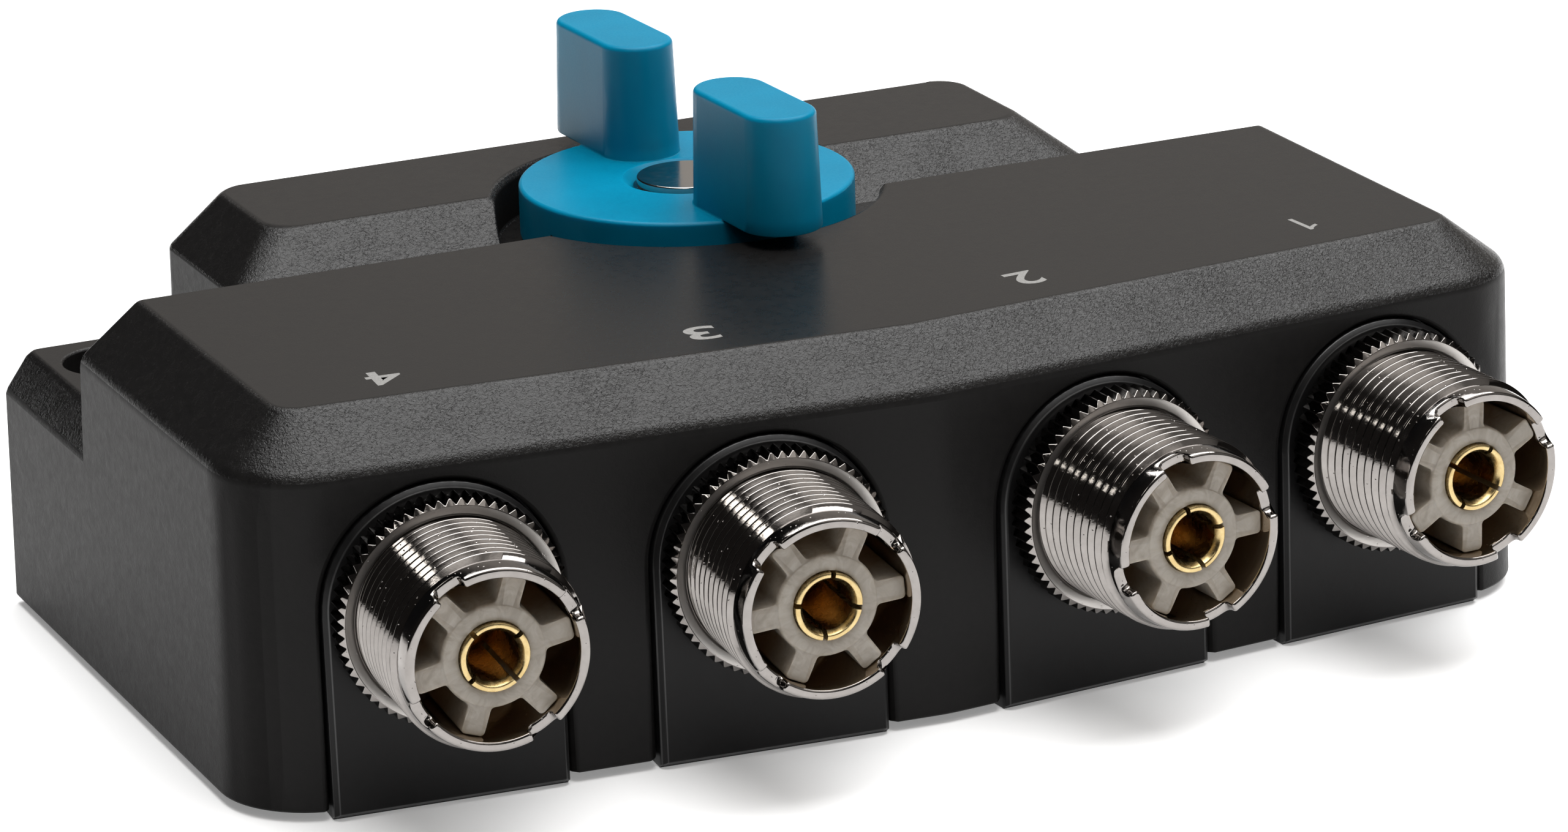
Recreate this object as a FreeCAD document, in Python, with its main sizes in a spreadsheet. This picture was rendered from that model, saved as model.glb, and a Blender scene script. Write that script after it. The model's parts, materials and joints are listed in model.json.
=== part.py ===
import FreeCAD, Part
import math
import os

# Four-way coaxial antenna switch in a moulded case.
# Right-handed frame in millimetres: X to the right as seen from the four antenna sockets,
# Y from the antenna side to the common side, Z up. The origin is the middle of the
# footprint, on the surface the case stands on.

doc = FreeCAD.newDocument("antenna_switch")
V = FreeCAD.Vector
ROT = FreeCAD.Rotation
PL = FreeCAD.Placement

# ------------------------------------------------------------------ driving dimensions
sheet = doc.addObject("Spreadsheet::Sheet", "dims")
NUMBERS = [
    # case
    ("half_width", 57.85), ("vee_angle", 4.53), ("draft_tan", 0.018), ("cover_bottom", 0.76),
    ("top_height", 32.13), ("hip_height", 27.98), ("bevel_in", 5.28), ("block_back", 43.29),
    ("shelf_back", 64.93), ("shelf_height", 22.31), ("shelf_bevel_z", 19.45), ("shelf_bevel_in", 2.24),
    ("rear_half_top", 35.54), ("rear_half_wall", 40.52), ("rear_front_edge", 56.46), ("rear_back", 71.42),
    ("corner_radius", 8.19), ("apex_radius", 14.0), ("wall", 2.6), ("roof", 2.5),
    ("recess_floor", 28.0), ("recess_radius", 16.5), ("axis_y", 50.17), ("y_shift", 36.04),
    # panels of the base that stand in the openings of the cover
    ("panel_radius", 9.68), ("panel_gap", 0.17), ("panel_proud", 0.4), ("panel_back", 3.5),
    ("plate_top", 3.0), ("plate_inset", 3.0),
    # coaxial sockets
    ("port_height", 16.79), ("port_inner", 14.92), ("port_outer", 41.84),
    ("shell_major", 7.9375), ("shell_neck", 7.5), ("panel_hole", 8.0), ("rim_radius", 7.3), ("rim_plane", 14.3), ("bore_radius", 6.55),
    ("thread_start", 3.4), ("thread_end", 12.4), ("flange_radius", 9.2), ("flange_front", 4.3), ("flange_back", 6.5),
    ("notch_width", 2.2), ("notch_depth", 1.15),
    ("nut_radius", 9.35), ("nut_root", 8.9), ("nut_teeth", 62), ("nut_front", 3.2), ("nut_shoulder", 1.3),
    ("hub_radius", 4.2), ("hub_face", 13.2), ("spoke_width", 1.9), ("spoke_face", 12.9), ("pocket_floor", 5.0),
    ("tip_radius", 2.775), ("tip_bore", 1.95), ("tip_face", 13.585), ("tail_radius", 2.0),
    ("tab_width", 3.0), ("tab_top", 0.11), ("tab_thick", 0.54), ("tab_end", 12.4),
    # mounting ears and case screws
    ("ear_x", 49.73), ("ear_y", 58.67), ("ear_bore", 4.12), ("ear_hole", 2.25), ("ear_tube", 5.7), ("ear_seat", 4.2),
    ("post_front_x", 28.4), ("post_front_y", 17.0), ("post_rear_x", 33.0), ("post_rear_y", 60.0), ("post_radius", 3.4),
    # knob
    ("disc_radius", 14.44), ("disc_bottom", 28.6), ("disc_top", 33.34), ("grip_top", 43.44),
    ("grip_centre", 13.5), ("grip_half", 4.3), ("grip_radius", 3.5), ("grip_taper", 1.7),
    ("knob_hollow", 8.2), ("knob_web", 31.2), ("knob_mouth", 5.52), ("knob_turned", 2.7),
    ("hub_insert", 4.6), ("hub_bottom", 30.4), ("hub_top", 32.7), ("cap_top", 33.5), ("cap_top_radius", 4.3),
    # rotary switch
    ("shaft_radius", 3.0), ("shaft_bottom", 13.2), ("shaft_top", 31.7), ("bush_radius", 4.5), ("bush_bore", 3.05),
    ("bush_top", 30.2), ("frame_bottom", 24.3), ("frame_top", 25.5), ("frame_half_x", 13.6), ("frame_half_y", 11.6),
    ("wafer_bottom", 14.9), ("wafer_top", 16.5), ("wafer_radius", 12.5), ("wafer_hole", 9.2),
    ("rotor_radius", 8.8), ("blade_bottom", 17.3), ("blade_top", 17.8), ("clip_lower_top", 16.9),
    ("clip_upper_bottom", 18.2), ("clip_upper_top", 18.6), ("strip_top", 17.4), ("ball_radius", 1.25), ("ball_circle", 6.5),
]
for row, (name, number) in enumerate(NUMBERS, start=1):
    sheet.set("A%d" % row, name.replace("_", " "))
    sheet.set("B%d" % row, repr(number))
    sheet.setAlias("B%d" % row, name)
doc.recompute()


class Size:
    """A number read from the sheet together with the expression that gives it."""

    def __init__(self, number, text):
        self.number = float(number)
        self.text = text

    def _join(self, other, sign, flip=False):
        other = size(other)
        a, b = (other, self) if flip else (self, other)
        if sign == "+":
            n = a.number + b.number
        elif sign == "-":
            n = a.number - b.number
        elif sign == "*":
            n = a.number * b.number
        else:
            n = a.number / b.number
        return Size(n, "(%s %s %s)" % (a.text, sign, b.text))

    def __add__(self, o): return self._join(o, "+")
    def __radd__(self, o): return self._join(o, "+", True)
    def __sub__(self, o): return self._join(o, "-")
    def __rsub__(self, o): return self._join(o, "-", True)
    def __mul__(self, o): return self._join(o, "*")
    def __rmul__(self, o): return self._join(o, "*", True)
    def __truediv__(self, o): return self._join(o, "/")
    def __neg__(self): return self._join(-1.0, "*")
    def __float__(self): return self.number


def size(x):
    return x if isinstance(x, Size) else Size(x, repr(float(x)))


class Dims:
    pass


D = Dims()      # D.name carries the value and its expression
N = Dims()      # N.name is the bare value
for name, _ in NUMBERS:
    value = float(sheet.get(name))
    setattr(D, name, Size(value, "dims." + name))
    setattr(N, name, value)

YS = N.y_shift
SUBPARTS = []


def keep(obj, label):
    obj.Label = label
    SUBPARTS.append((label, obj))
    return obj


# ------------------------------------------------------------------ sketch and body helpers
def plane_of(body, role):
    for f in body.Origin.OriginFeatures:
        if f.Role == role:
            return f
    raise ValueError(role)


def fix_point(sketch, geo, pos, x, y):
    x, y = size(x), size(y)
    if abs(x.number) < 1e-9:
        sketch.addConstraint(Sketcher.Constraint("PointOnObject", geo, pos, -2))
    else:
        i = sketch.addConstraint(Sketcher.Constraint("DistanceX", -1, 1, geo, pos, x.number))
        sketch.setExpression("Constraints[%d]" % i, x.text)
    if abs(y.number) < 1e-9:
        sketch.addConstraint(Sketcher.Constraint("PointOnObject", geo, pos, -1))
    else:
        i = sketch.addConstraint(Sketcher.Constraint("DistanceY", -1, 1, geo, pos, y.number))
        sketch.setExpression("Constraints[%d]" % i, y.text)


def draw_polygon(sketch, points):
    pts = [(size(x), size(y)) for x, y in points]
    first = None
    ids = []
    for k in range(len(pts)):
        a, b = pts[k], pts[(k + 1) % len(pts)]
        ids.append(sketch.addGeometry(Part.LineSegment(V(a[0].number, a[1].number, 0), V(b[0].number, b[1].number, 0)), False))
    for k in range(len(ids)):
        sketch.addConstraint(Sketcher.Constraint("Coincident", ids[k], 2, ids[(k + 1) % len(ids)], 1))
    for k in range(len(ids)):
        fix_point(sketch, ids[k], 1, pts[k][0], pts[k][1])


def draw_circle(sketch, x, y, r):
    x, y, r = size(x), size(y), size(r)
    g = sketch.addGeometry(Part.Circle(V(x.number, y.number, 0), V(0, 0, 1), r.number), False)
    if abs(x.number) < 1e-9 and abs(y.number) < 1e-9:
        sketch.addConstraint(Sketcher.Constraint("Coincident", g, 3, -1, 1))
    else:
        fix_point(sketch, g, 3, x, y)
    i = sketch.addConstraint(Sketcher.Constraint("Radius", g, r.number))
    sketch.setExpression("Constraints[%d]" % i, r.text)


def draw_stadium(sketch, x, half, r):
    """A slot outline along X centred at (x, 0)."""
    x, half, r = size(x), size(half), size(r)
    xa, xb = x.number - half.number, x.number + half.number
    top = sketch.addGeometry(Part.LineSegment(V(xb, r.number, 0), V(xa, r.number, 0)), False)
    left = sketch.addGeometry(Part.ArcOfCircle(Part.Circle(V(xa, 0, 0), V(0, 0, 1), r.number), math.pi / 2, 3 * math.pi / 2), False)
    bot = sketch.addGeometry(Part.LineSegment(V(xa, -r.number, 0), V(xb, -r.number, 0)), False)
    right = sketch.addGeometry(Part.ArcOfCircle(Part.Circle(V(xb, 0, 0), V(0, 0, 1), r.number), -math.pi / 2, math.pi / 2), False)
    sketch.addConstraint(Sketcher.Constraint("Tangent", top, 2, left, 1))
    sketch.addConstraint(Sketcher.Constraint("Tangent", left, 2, bot, 1))
    sketch.addConstraint(Sketcher.Constraint("Tangent", bot, 2, right, 1))
    sketch.addConstraint(Sketcher.Constraint("Tangent", right, 2, top, 1))
    fix_point(sketch, left, 3, x - half, 0)
    fix_point(sketch, right, 3, x + half, 0)
    i = sketch.addConstraint(Sketcher.Constraint("Radius", left, r.number))
    sketch.setExpression("Constraints[%d]" % i, r.text)


def new_sketch(body, name, role, z=0.0, spin=0.0):
    s = body.newObject("Sketcher::SketchObject", name)
    s.AttachmentSupport = [(plane_of(body, role), "")]
    s.MapMode = "FlatFace"
    z = size(z)
    s.AttachmentOffset = PL(V(0, 0, z.number), ROT(V(0, 0, 1), spin))
    if abs(z.number) > 1e-9:
        s.setExpression("AttachmentOffset.Base.z", z.text)
    return s


def new_body(label, kept=True):
    body = doc.addObject("PartDesign::Body", label)
    return keep(body, label) if kept else body


def group(label, members):
    """Identical small pieces that share one file, as separate solids."""
    g = doc.addObject("Part::Compound", label)
    g.Links = members
    return keep(g, label)


def revolve(body, points, name="profile"):
    """Turns a closed (radius, height) outline about the body's Z axis."""
    s = new_sketch(body, name, "XZ_Plane")
    draw_polygon(s, points)
    f = body.newObject("PartDesign::Revolution", name + "_turned")
    f.Profile = s
    f.ReferenceAxis = (s, ["V_Axis"])
    f.Angle = 360.0
    body.Tip = f
    return f


def pad(body, draw, z, length, name="outline", spin=0.0, taper=None):
    s = new_sketch(body, name, "XY_Plane", z, spin)
    draw(s)
    f = body.newObject("PartDesign::Pad", name + "_pad")
    f.Profile = s
    length = size(length)
    f.Length = length.number
    f.setExpression("Length", length.text)
    if taper is not None:
        taper = size(taper)
        f.TaperAngle = -taper.number
        f.setExpression("TaperAngle", "-" + taper.text)
    body.Tip = f
    return f


def pocket(body, draw, z_top, depth, name="cut", spin=0.0):
    """Cuts downward (towards -Z of the body) from z_top."""
    s = new_sketch(body, name, "XY_Plane", z_top, spin)
    draw(s)
    f = body.newObject("PartDesign::Pocket", name + "_pocket")
    f.Profile = s
    depth = size(depth)
    f.Length = depth.number
    f.setExpression("Length", depth.text)
    f.Reversed = False
    body.Tip = f
    return f


def ring_of(body, feature, count, angle=360.0, name="ring"):
    f = body.newObject("PartDesign::PolarPattern", name)
    f.Originals = [feature]
    z_axis = [o for o in body.Origin.OriginFeatures if o.Role == "Z_Axis"][0]
    f.Axis = (z_axis, [""])
    f.Angle = angle
    f.Occurrences = count
    body.Tip = f
    return f


import Sketcher  # noqa: E402  (after Part, as the sketches need its constraints)

# ------------------------------------------------------------------ places
VEE = math.radians(N.vee_angle)


def port_frame(key, spin=0.0):
    """Placement of a coaxial port: local X to the right of a viewer facing it, local Y up,
    local Z out of the case. Ports 1 and 2 are on the right face, 3 and 4 on the left face."""
    if key == "common":
        rot = ROT(V(0, 0, 1), 180).multiply(ROT(V(1, 0, 0), 90))
        base = V(0, N.rear_back, N.port_height)
    else:
        side = 1 if key in (1, 2) else -1
        dist = N.port_outer if key in (1, 4) else N.port_inner
        rot = ROT(V(0, 0, 1), side * N.vee_angle).multiply(ROT(V(1, 0, 0), 90))
        base = V(side * dist * math.cos(VEE), dist * math.sin(VEE), N.port_height)
    base = base - V(0, YS, 0)
    if spin:
        rot = rot.multiply(ROT(V(0, 0, 1), spin))
    return PL(base, rot)


PORTS = [1, 2, 3, 4, "common"]
NAMES = {1: "antenna_%s_1", 2: "antenna_%s_2", 3: "antenna_%s_3", 4: "antenna_%s_4", "common": "common_%s"}
# how far each shell, insulator and contact happens to be turned in its seat
SHELL_SPIN = {1: 23.5, 2: 16.6, 3: 45.0, 4: 30.0, "common": 45.0}
SPOKE_SPIN = {1: 29.5, 2: 1.1, 3: 5.0, 4: 12.0, "common": 30.0}
SLOT_SPIN = {1: 58.0, 2: 15.7, 3: 81.0, 4: 39.0, "common": 20.0}

AXIS = V(0, N.axis_y - YS, 0)


def on_axis(obj, spin=0.0):
    obj.Placement = PL(AXIS, ROT(V(0, 0, 1), spin))


# ------------------------------------------------------------------ cover
def rounded_wire(points, radii, z):
    """A closed wire at height z through the given corners, each rounded with a true arc."""
    n = len(points)
    legs = []
    for k in range(n):
        p, a, b = V(points[k][0], points[k][1], z), V(points[k - 1][0], points[k - 1][1], z), V(points[(k + 1) % n][0], points[(k + 1) % n][1], z)
        r = radii[k]
        if not r:
            legs.append((p, None, p))
            continue
        u, w = (a - p).normalize(), (b - p).normalize()
        half = math.acos(max(-1.0, min(1.0, u.dot(w)))) / 2
        cut = r / math.tan(half)
        bis = (u + w).normalize()
        centre = p + bis * (r / math.sin(half))
        legs.append((p + u * cut, centre - bis * r, p + w * cut))
    edges = []
    for k in range(n):
        s, m, e = legs[k]
        if m is not None:
            edges.append(Part.Arc(s, m, e).toShape())
        nxt = legs[(k + 1) % n][0]
        if (nxt - e).Length > 1e-7:
            edges.append(Part.LineSegment(e, nxt).toShape())
    return Part.Wire(edges)


def vee_points(front, side, back):
    """Corners of the wide front outline, set in from the nominal front and side faces."""
    x = N.half_width - side
    apex = front / math.cos(VEE)
    y = x * math.tan(VEE) + apex
    return [(-x, back), (x, back), (x, y), (0, apex), (-x, y)]


def rounding(z0, d0, z1, d1, z2, d2, r, steps):
    """Points (z, inset) that round the corner at (z1, d1) between two straight runs."""
    a, p, b = V(d0, z0, 0), V(d1, z1, 0), V(d2, z2, 0)
    u, w = (a - p).normalize(), (b - p).normalize()
    half = math.acos(u.dot(w)) / 2
    cut = r / math.tan(half)
    bis = (u + w).normalize()
    c = p + bis * (r / math.sin(half))
    s, e = p + u * cut, p + w * cut
    a0 = math.atan2(s.y - c.y, s.x - c.x)
    a1 = math.atan2(e.y - c.y, e.x - c.x)
    while a1 - a0 > math.pi:
        a1 -= 2 * math.pi
    while a0 - a1 > math.pi:
        a1 += 2 * math.pi
    return [(c.y + r * math.sin(a0 + (a1 - a0) * k / steps), c.x + r * math.cos(a0 + (a1 - a0) * k / steps)) for k in range(steps + 1)]


def side_profile(z_low, hip, top, bevel, shrink=0.0, soft=True):
    """(height, inset) list of the front block: drafted wall, hip, bevel, top edge."""
    t = N.draft_tan
    low = (z_low, t * z_low + shrink)
    hp = (hip, t * hip + shrink)
    tp = (top, t * hip + bevel + shrink)
    flat = (top, t * hip + bevel + shrink + 6.0)
    if not soft:
        return [low, hp, tp]
    out = [low]
    out += rounding(low[0], low[1], hp[0], hp[1], tp[0], tp[1], 1.6, 3)
    out += rounding(hp[0], hp[1], tp[0], tp[1], flat[0], flat[1], 1.1, 3)
    return out


def vee_loft(profile, back, corner, apex):
    wires = []
    for z, inset in profile:
        r = max(corner - inset, 0.9)
        wires.append(rounded_wire(vee_points(inset, inset, back), [0, 0, r, apex, r], z))
    return Part.makeLoft(wires, True, True)


front_profile = side_profile(N.cover_bottom, N.hip_height, N.top_height, N.bevel_in)
front_block = vee_loft(front_profile, N.block_back, N.corner_radius, N.apex_radius)


def box_loft(sections, radii):
    """sections: (z, half width, y front, y back); radii: the plan radius of front and back corners."""
    wires = []
    for z, hx, y0, y1 in sections:
        wires.append(rounded_wire([(-hx, y1), (hx, y1), (hx, y0), (-hx, y0)], [radii[1], radii[1], radii[0], radii[0]], z))
    return Part.makeLoft(wires, True, True)


t = N.draft_tan
w = N.half_width
# mounting shelves: the same side walls carried back, lower, with a bevelled outer edge
shelf_sections = [(N.cover_bottom, w - t * N.cover_bottom), (N.shelf_bevel_z - 0.5, w - t * (N.shelf_bevel_z - 0.5)),
                  (N.shelf_bevel_z, w - t * N.shelf_bevel_z - 0.2),
                  (N.shelf_height - 0.4, w - t * N.shelf_bevel_z - N.shelf_bevel_in + 0.25),
                  (N.shelf_height, w - t * N.shelf_bevel_z - N.shelf_bevel_in - 0.35)]
shelf = box_loft([(z, hx, N.block_back - 0.0, N.shelf_back) for z, hx in shelf_sections], (0, 0.8))
# narrower rear block: a trunk up to the channel floor and a bevelled head behind the channel
step_in = N.rear_half_wall - N.rear_half_top
rw0 = N.rear_half_wall + t * (N.hip_height - N.cover_bottom)
trunk = box_loft([(N.cover_bottom, rw0, N.block_back - 6.0, N.rear_back), (N.recess_floor, N.rear_half_wall, N.block_back - 6.0, N.rear_back)], (0, 2.5))
head_profile = [(N.recess_floor, 0.0)]
head_profile += rounding(N.recess_floor - 4, 0.0, N.recess_floor, 0.0, N.top_height, step_in, 0.5, 1)[-1:]
head_profile += rounding(N.recess_floor, 0.0, N.top_height, step_in, N.top_height, step_in + 6, 1.1, 3)
y_foot = N.rear_front_edge - step_in
head = box_loft([(z, N.rear_half_wall - d, y_foot + d, N.rear_back - (0.0 if z < N.top_height - 0.5 else 0.25 * (z - N.top_height + 0.5) / 0.5)) for z, d in head_profile], (3.0, 2.5))

outer = front_block.fuse([shelf, trunk, head])
recess = Part.makeCylinder(N.recess_radius, 20, V(0, N.axis_y, N.recess_floor))
# the drop of the recess through the block behind it has a small lead-in edge
recess_lip = Part.makeCone(N.recess_radius, N.recess_radius + 0.5, 0.5, V(0, N.axis_y, N.top_height - 0.499))
outer = outer.cut([recess, recess_lip])

# inside of the cover
wl = N.wall
in_profile = side_profile(-1.0, N.hip_height - 1.6, N.top_height - N.roof, N.bevel_in - 0.4, shrink=wl, soft=False)
cav_front = vee_loft(in_profile, N.block_back - wl, max(N.corner_radius, 3.0), N.apex_radius)
tub = Part.makeCylinder(N.recess_radius + wl, 20, V(0, N.axis_y, N.recess_floor - N.roof))
cav_front = cav_front.cut(tub)
cav_shelf = Part.makeBox(2 * (w - wl - 0.1), N.shelf_back - wl - 25.0, N.shelf_height - N.roof + 1.0, V(-(w - wl - 0.1), 25.0, -1.0))
cav_trunk = Part.makeBox(2 * (N.rear_half_wall - wl), N.rear_back - wl - 25.0, N.recess_floor - N.roof + 1.0, V(-(N.rear_half_wall - wl), 25.0, -1.0))
cav_head = box_loft([(N.recess_floor - N.roof - 2.0, N.rear_half_wall - wl, y_foot + wl + 0.6, N.rear_back - wl),
                     (N.top_height - N.roof, N.rear_half_top - wl + 0.6, N.rear_front_edge + wl - 0.9, N.rear_back - wl)], (1.0, 1.0)).cut(tub)
cavity = cav_front.fuse([cav_shelf, cav_trunk, cav_head])
cover = outer.cut(cavity)

# posts for the case screws and tubes round the deep mounting holes
POSTS = [(-N.post_front_x, N.post_front_y, N.top_height - N.roof + 0.5), (N.post_front_x, N.post_front_y, N.top_height - N.roof + 0.5),
         (-N.post_rear_x, N.post_rear_y, N.top_height - N.roof - 0.6), (N.post_rear_x, N.post_rear_y, N.top_height - N.roof - 0.6)]
adds, cuts = [], []
for px, py, pz in POSTS:
    adds.append(Part.makeCylinder(N.post_radius, pz - N.plate_top, V(px, py, N.plate_top)))
    cuts.append(Part.makeCylinder(1.25, 14.0, V(px, py, N.plate_top)))
for sx in (-1, 1):
    adds.append(Part.makeCylinder(N.ear_tube, N.shelf_height - 1.0 - N.ear_seat, V(sx * N.ear_x, N.ear_y, N.ear_seat)))
    cuts.append(Part.makeCylinder(N.ear_bore, 40, V(sx * N.ear_x, N.ear_y, N.ear_seat)))
cuts.append(Part.makeCylinder(N.bush_radius + 0.2, 10, V(0, N.axis_y, 20)))
cover = cover.fuse(adds).cut(cuts)


def panel_prism(key, radius, z_out, z_in, foot, chamfer_to=None):
    """A tombstone outline (round top, straight sides) swept along the port's axis,
    from z_in to z_out of the port's own frame; foot is how far the sides run down."""
    def outline(r, z):
        a, b, c, d, m = V(r, -foot, z), V(r, 0, z), V(-r, 0, z), V(-r, -foot, z), V(0, r, z)
        return Part.Wire([Part.LineSegment(a, b).toShape(), Part.Arc(b, m, c).toShape(), Part.LineSegment(c, d).toShape(), Part.LineSegment(d, a).toShape()])
    if chamfer_to is None:
        s = Part.Face(outline(radius, z_in)).extrude(V(0, 0, z_out - z_in))
    else:
        s = Part.makeLoft([outline(radius, z_in), outline(chamfer_to, z_out)], True, True)
    pl = port_frame(key)
    pl.Base = pl.Base + V(0, YS, 0)
    s.Placement = pl
    return s


wall_cuts = []
for key in PORTS:
    r = N.panel_radius + N.panel_gap
    wall_cuts.append(panel_prism(key, r, 3.0, -4.4, 25.0))
    skin = -t * N.port_height if key != "common" else 0.0
    wall_cuts.append(panel_prism(key, r, skin + 0.6, skin - 0.3, 25.0, chamfer_to=r + 0.9))
# room for the flange of the common socket under the floor of the recess
flange_room = Part.makeCylinder(N.flange_radius + 0.3, 3.0, V(0, N.rear_back - N.flange_back - 0.5, N.port_height), V(0, 1, 0))
wall_cuts.append(flange_room)
cover = cover.cut(wall_cuts)
solids = sorted(cover.Solids, key=lambda q: q.Volume)
cover = solids[-1]


def shape_feature(label, shape):
    """A plain shape drawn in the fitted frame, moved to the part's own frame."""
    pieces = sorted(shape.Solids, key=lambda q: q.Volume)
    print(label, "solids", len(pieces), [round(q.Volume, 2) for q in pieces])
    fe = doc.addObject("Part::Feature", label)
    fe.Shape = pieces[-1]
    fe.Placement = PL(V(0, -YS, 0), ROT())
    return fe


# one moulding, kept as three nodes so that the step behind the front block and the deep
# screw holes stay open: the front block, the rear block and the two mounting ears
CUT_Y, CUT_X = 43.0, 42.0
keep(shape_feature("top_cover", cover.common(Part.makeBox(400, 200 + CUT_Y, 200, V(-200, -200, -50)))), "top_cover")
keep(shape_feature("top_cover_rear", cover.common(Part.makeBox(2 * CUT_X, 200, 200, V(-CUT_X, CUT_Y, -50)))), "top_cover_rear")
group("top_cover_ears", [shape_feature("cover_ear_left", cover.common(Part.makeBox(100, 200, 200, V(-100 - CUT_X, CUT_Y, -50)))),
                         shape_feature("cover_ear_right", cover.common(Part.makeBox(100, 200, 200, V(CUT_X, CUT_Y, -50))))])

# ------------------------------------------------------------------ base tray
plate_pts = vee_points(N.plate_inset, N.plate_inset, 50.0)
inset = N.plate_inset
hw = N.half_width - inset
rear = N.rear_half_wall - 3.0
front_y = hw * math.tan(VEE) + inset / math.cos(VEE)
plate_outline = [(-hw, front_y), (0, inset / math.cos(VEE)), (hw, front_y), (hw, N.shelf_back - inset), (rear, N.shelf_back - inset),
                 (rear, N.rear_back - inset), (-rear, N.rear_back - inset), (-rear, N.shelf_back - inset), (-hw, N.shelf_back - inset)]
plate = Part.Face(rounded_wire(plate_outline, [5.0, 10.0, 5.0, 1.5, 0, 2.0, 2.0, 0, 1.5], 0.0)).extrude(V(0, 0, N.plate_top))
panels = []
for key in PORTS:
    # each panel follows the lean of the wall it stands in; its outer edge and its foot are chamfered
    lean = math.degrees(math.atan(t)) if key != "common" else 0.0
    skin = (-t * N.port_height if key != "common" else 0.0) + N.panel_proud
    tilt = PL(V(0, 0, skin), ROT(V(1, 0, 0), -lean))
    pf = port_frame(key)
    pf.Base = pf.Base + V(0, YS, 0)
    foot = N.port_height + 3.0
    rim = panel_prism(key, N.panel_radius, 0.0, -0.4, foot, chamfer_to=N.panel_radius - 0.42)
    slab = panel_prism(key, N.panel_radius, -0.4, -N.panel_back - 0.4, foot)
    for piece in (rim, slab):
        piece.Placement = pf.multiply(tilt)
    shape = rim.fuse(slab)
    wedge = Part.Face(Part.makePolygon([V(-20, -N.port_height - 1, -0.9), V(-20, -N.port_height + 0.05, -0.9), V(-20, -N.port_height + 1.0, 0.6), V(-20, -N.port_height - 1, 0.6), V(-20, -N.port_height - 1, -0.9)])).extrude(V(40, 0, 0))
    wedge.Placement = pf.multiply(tilt)
    below = Part.makeBox(200, 200, 10, V(-100, -60, -10))
    behind = Part.makeBox(60, 60, 10, V(-30, -30, -N.panel_back - 10))
    behind.Placement = pf
    # a thin lip behind the wall of the cover shuts the gap round the panel
    lip = panel_prism(key, N.panel_radius + 0.67, -3.2, -N.panel_back, N.port_height - 1.0)
    trim = Part.makeBox(60, 60, 10, V(-30, 8.4, -8))
    trim.Placement = pf
    lip = lip.cut(trim)
    panels.append(shape.cut([wedge, below, behind]).fuse(lip).cut(plate))
tray = plate
# bosses that the mounting screws bear on, under the deep holes of the cover
boss_zone = Part.makeBox(2 * hw, 40.0, N.ear_seat, V(-hw, N.shelf_back - inset - 40.0, 0))
for sx in (-1, 1):
    tray = tray.fuse(Part.makeCylinder(N.ear_tube, N.ear_seat, V(sx * N.ear_x, N.ear_y, 0)).common(boss_zone))
drills = []
for sx in (-1, 1):
    drills.append(Part.makeCylinder(N.ear_hole, 20, V(sx * N.ear_x, N.ear_y, -1)))
for px, py, pz in POSTS:
    drills.append(Part.makeCylinder(1.65, 10, V(px, py, -1)))
    drills.append(Part.makeCone(3.2, 1.65, 1.55, V(px, py, 0.0)))
    drills.append(Part.makeCylinder(3.2, 1.0, V(px, py, -1.0)))
for key in PORTS:
    c = Part.makeCylinder(N.panel_hole, 20, V(0, 0, -8))
    pf = port_frame(key)
    pf.Base = pf.Base + V(0, YS, 0)
    c.Placement = pf
    drills.append(c)
tray = tray.cut(drills)
keep(shape_feature("base_tray", tray), "base_tray")
# the five arched panels of the same moulding, one solid each
group("socket_panels", [shape_feature("panel_%s" % key, piece.cut(drills)) for key, piece in zip(PORTS, panels)])

# ------------------------------------------------------------------ case screws
SCREWS = []
for k, (px, py, pz) in enumerate(POSTS, start=1):
    b = new_body("case_screw_%d" % k, kept=False)
    revolve(b, [(0, 0.0), (3.1, 0.0), (1.6, 1.5), (1.25, 2.4), (1.25, 12.6), (0.5, 13.6), (0, 13.6)], "screw")
    pocket(b, lambda s: (draw_polygon(s, [(-1.5, -0.32), (1.5, -0.32), (1.5, 0.32), (-1.5, 0.32)])), 1.0, 1.0, "slot_a")
    pocket(b, lambda s: (draw_polygon(s, [(-0.32, -1.5), (0.32, -1.5), (0.32, 1.5), (-0.32, 1.5)])), 1.0, 1.0, "slot_b")
    b.Placement = PL(V(px, py - YS, 0.02), ROT(V(0, 0, 1), 17.0 * k))
    SCREWS.append(b)
group("case_screws", SCREWS)

# ------------------------------------------------------------------ coaxial sockets
def star(radius, root, teeth):
    pts = []
    for k in range(teeth):
        a = 2 * math.pi * k / teeth
        step = 2 * math.pi / teeth
        pts.append(V(radius * math.cos(a - 0.07 * step), radius * math.sin(a - 0.07 * step), 0))
        pts.append(V(radius * math.cos(a + 0.07 * step), radius * math.sin(a + 0.07 * step), 0))
        pts.append(V(root * math.cos(a + 0.5 * step), root * math.sin(a + 0.5 * step), 0))
    pts.append(pts[0])
    return Part.Face(Part.makePolygon(pts))


def ring_nut_shape(low):
    zf, zs = N.nut_front, N.nut_shoulder
    knurl = star(N.nut_radius, N.nut_root, int(N.nut_teeth)).extrude(V(0, 0, zf - zs))
    knurl.translate(V(0, 0, zs))
    guard = Part.makeCylinder(N.nut_radius + 1, zf - zs - 0.7, V(0, 0, zs + 0.35))
    c1 = Part.makeCone(N.nut_radius - 0.35, N.nut_radius + 0.05, 0.35, V(0, 0, zs))
    c2 = Part.makeCone(N.nut_radius + 0.05, N.nut_radius - 0.35, 0.35, V(0, 0, zf - 0.35))
    knurl = knurl.common(guard.fuse([c1, c2]))
    shoulder = Part.makeCylinder(8.6, zs - low + 0.01, V(0, 0, low))
    nut = knurl.fuse(shoulder).cut(Part.makeCylinder(N.shell_neck, 10, V(0, 0, -2)))
    relief = Part.makeCone(N.shell_neck, N.shell_neck + 0.35, 0.35, V(0, 0, zf - 0.35))
    return nut.cut(relief)


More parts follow.
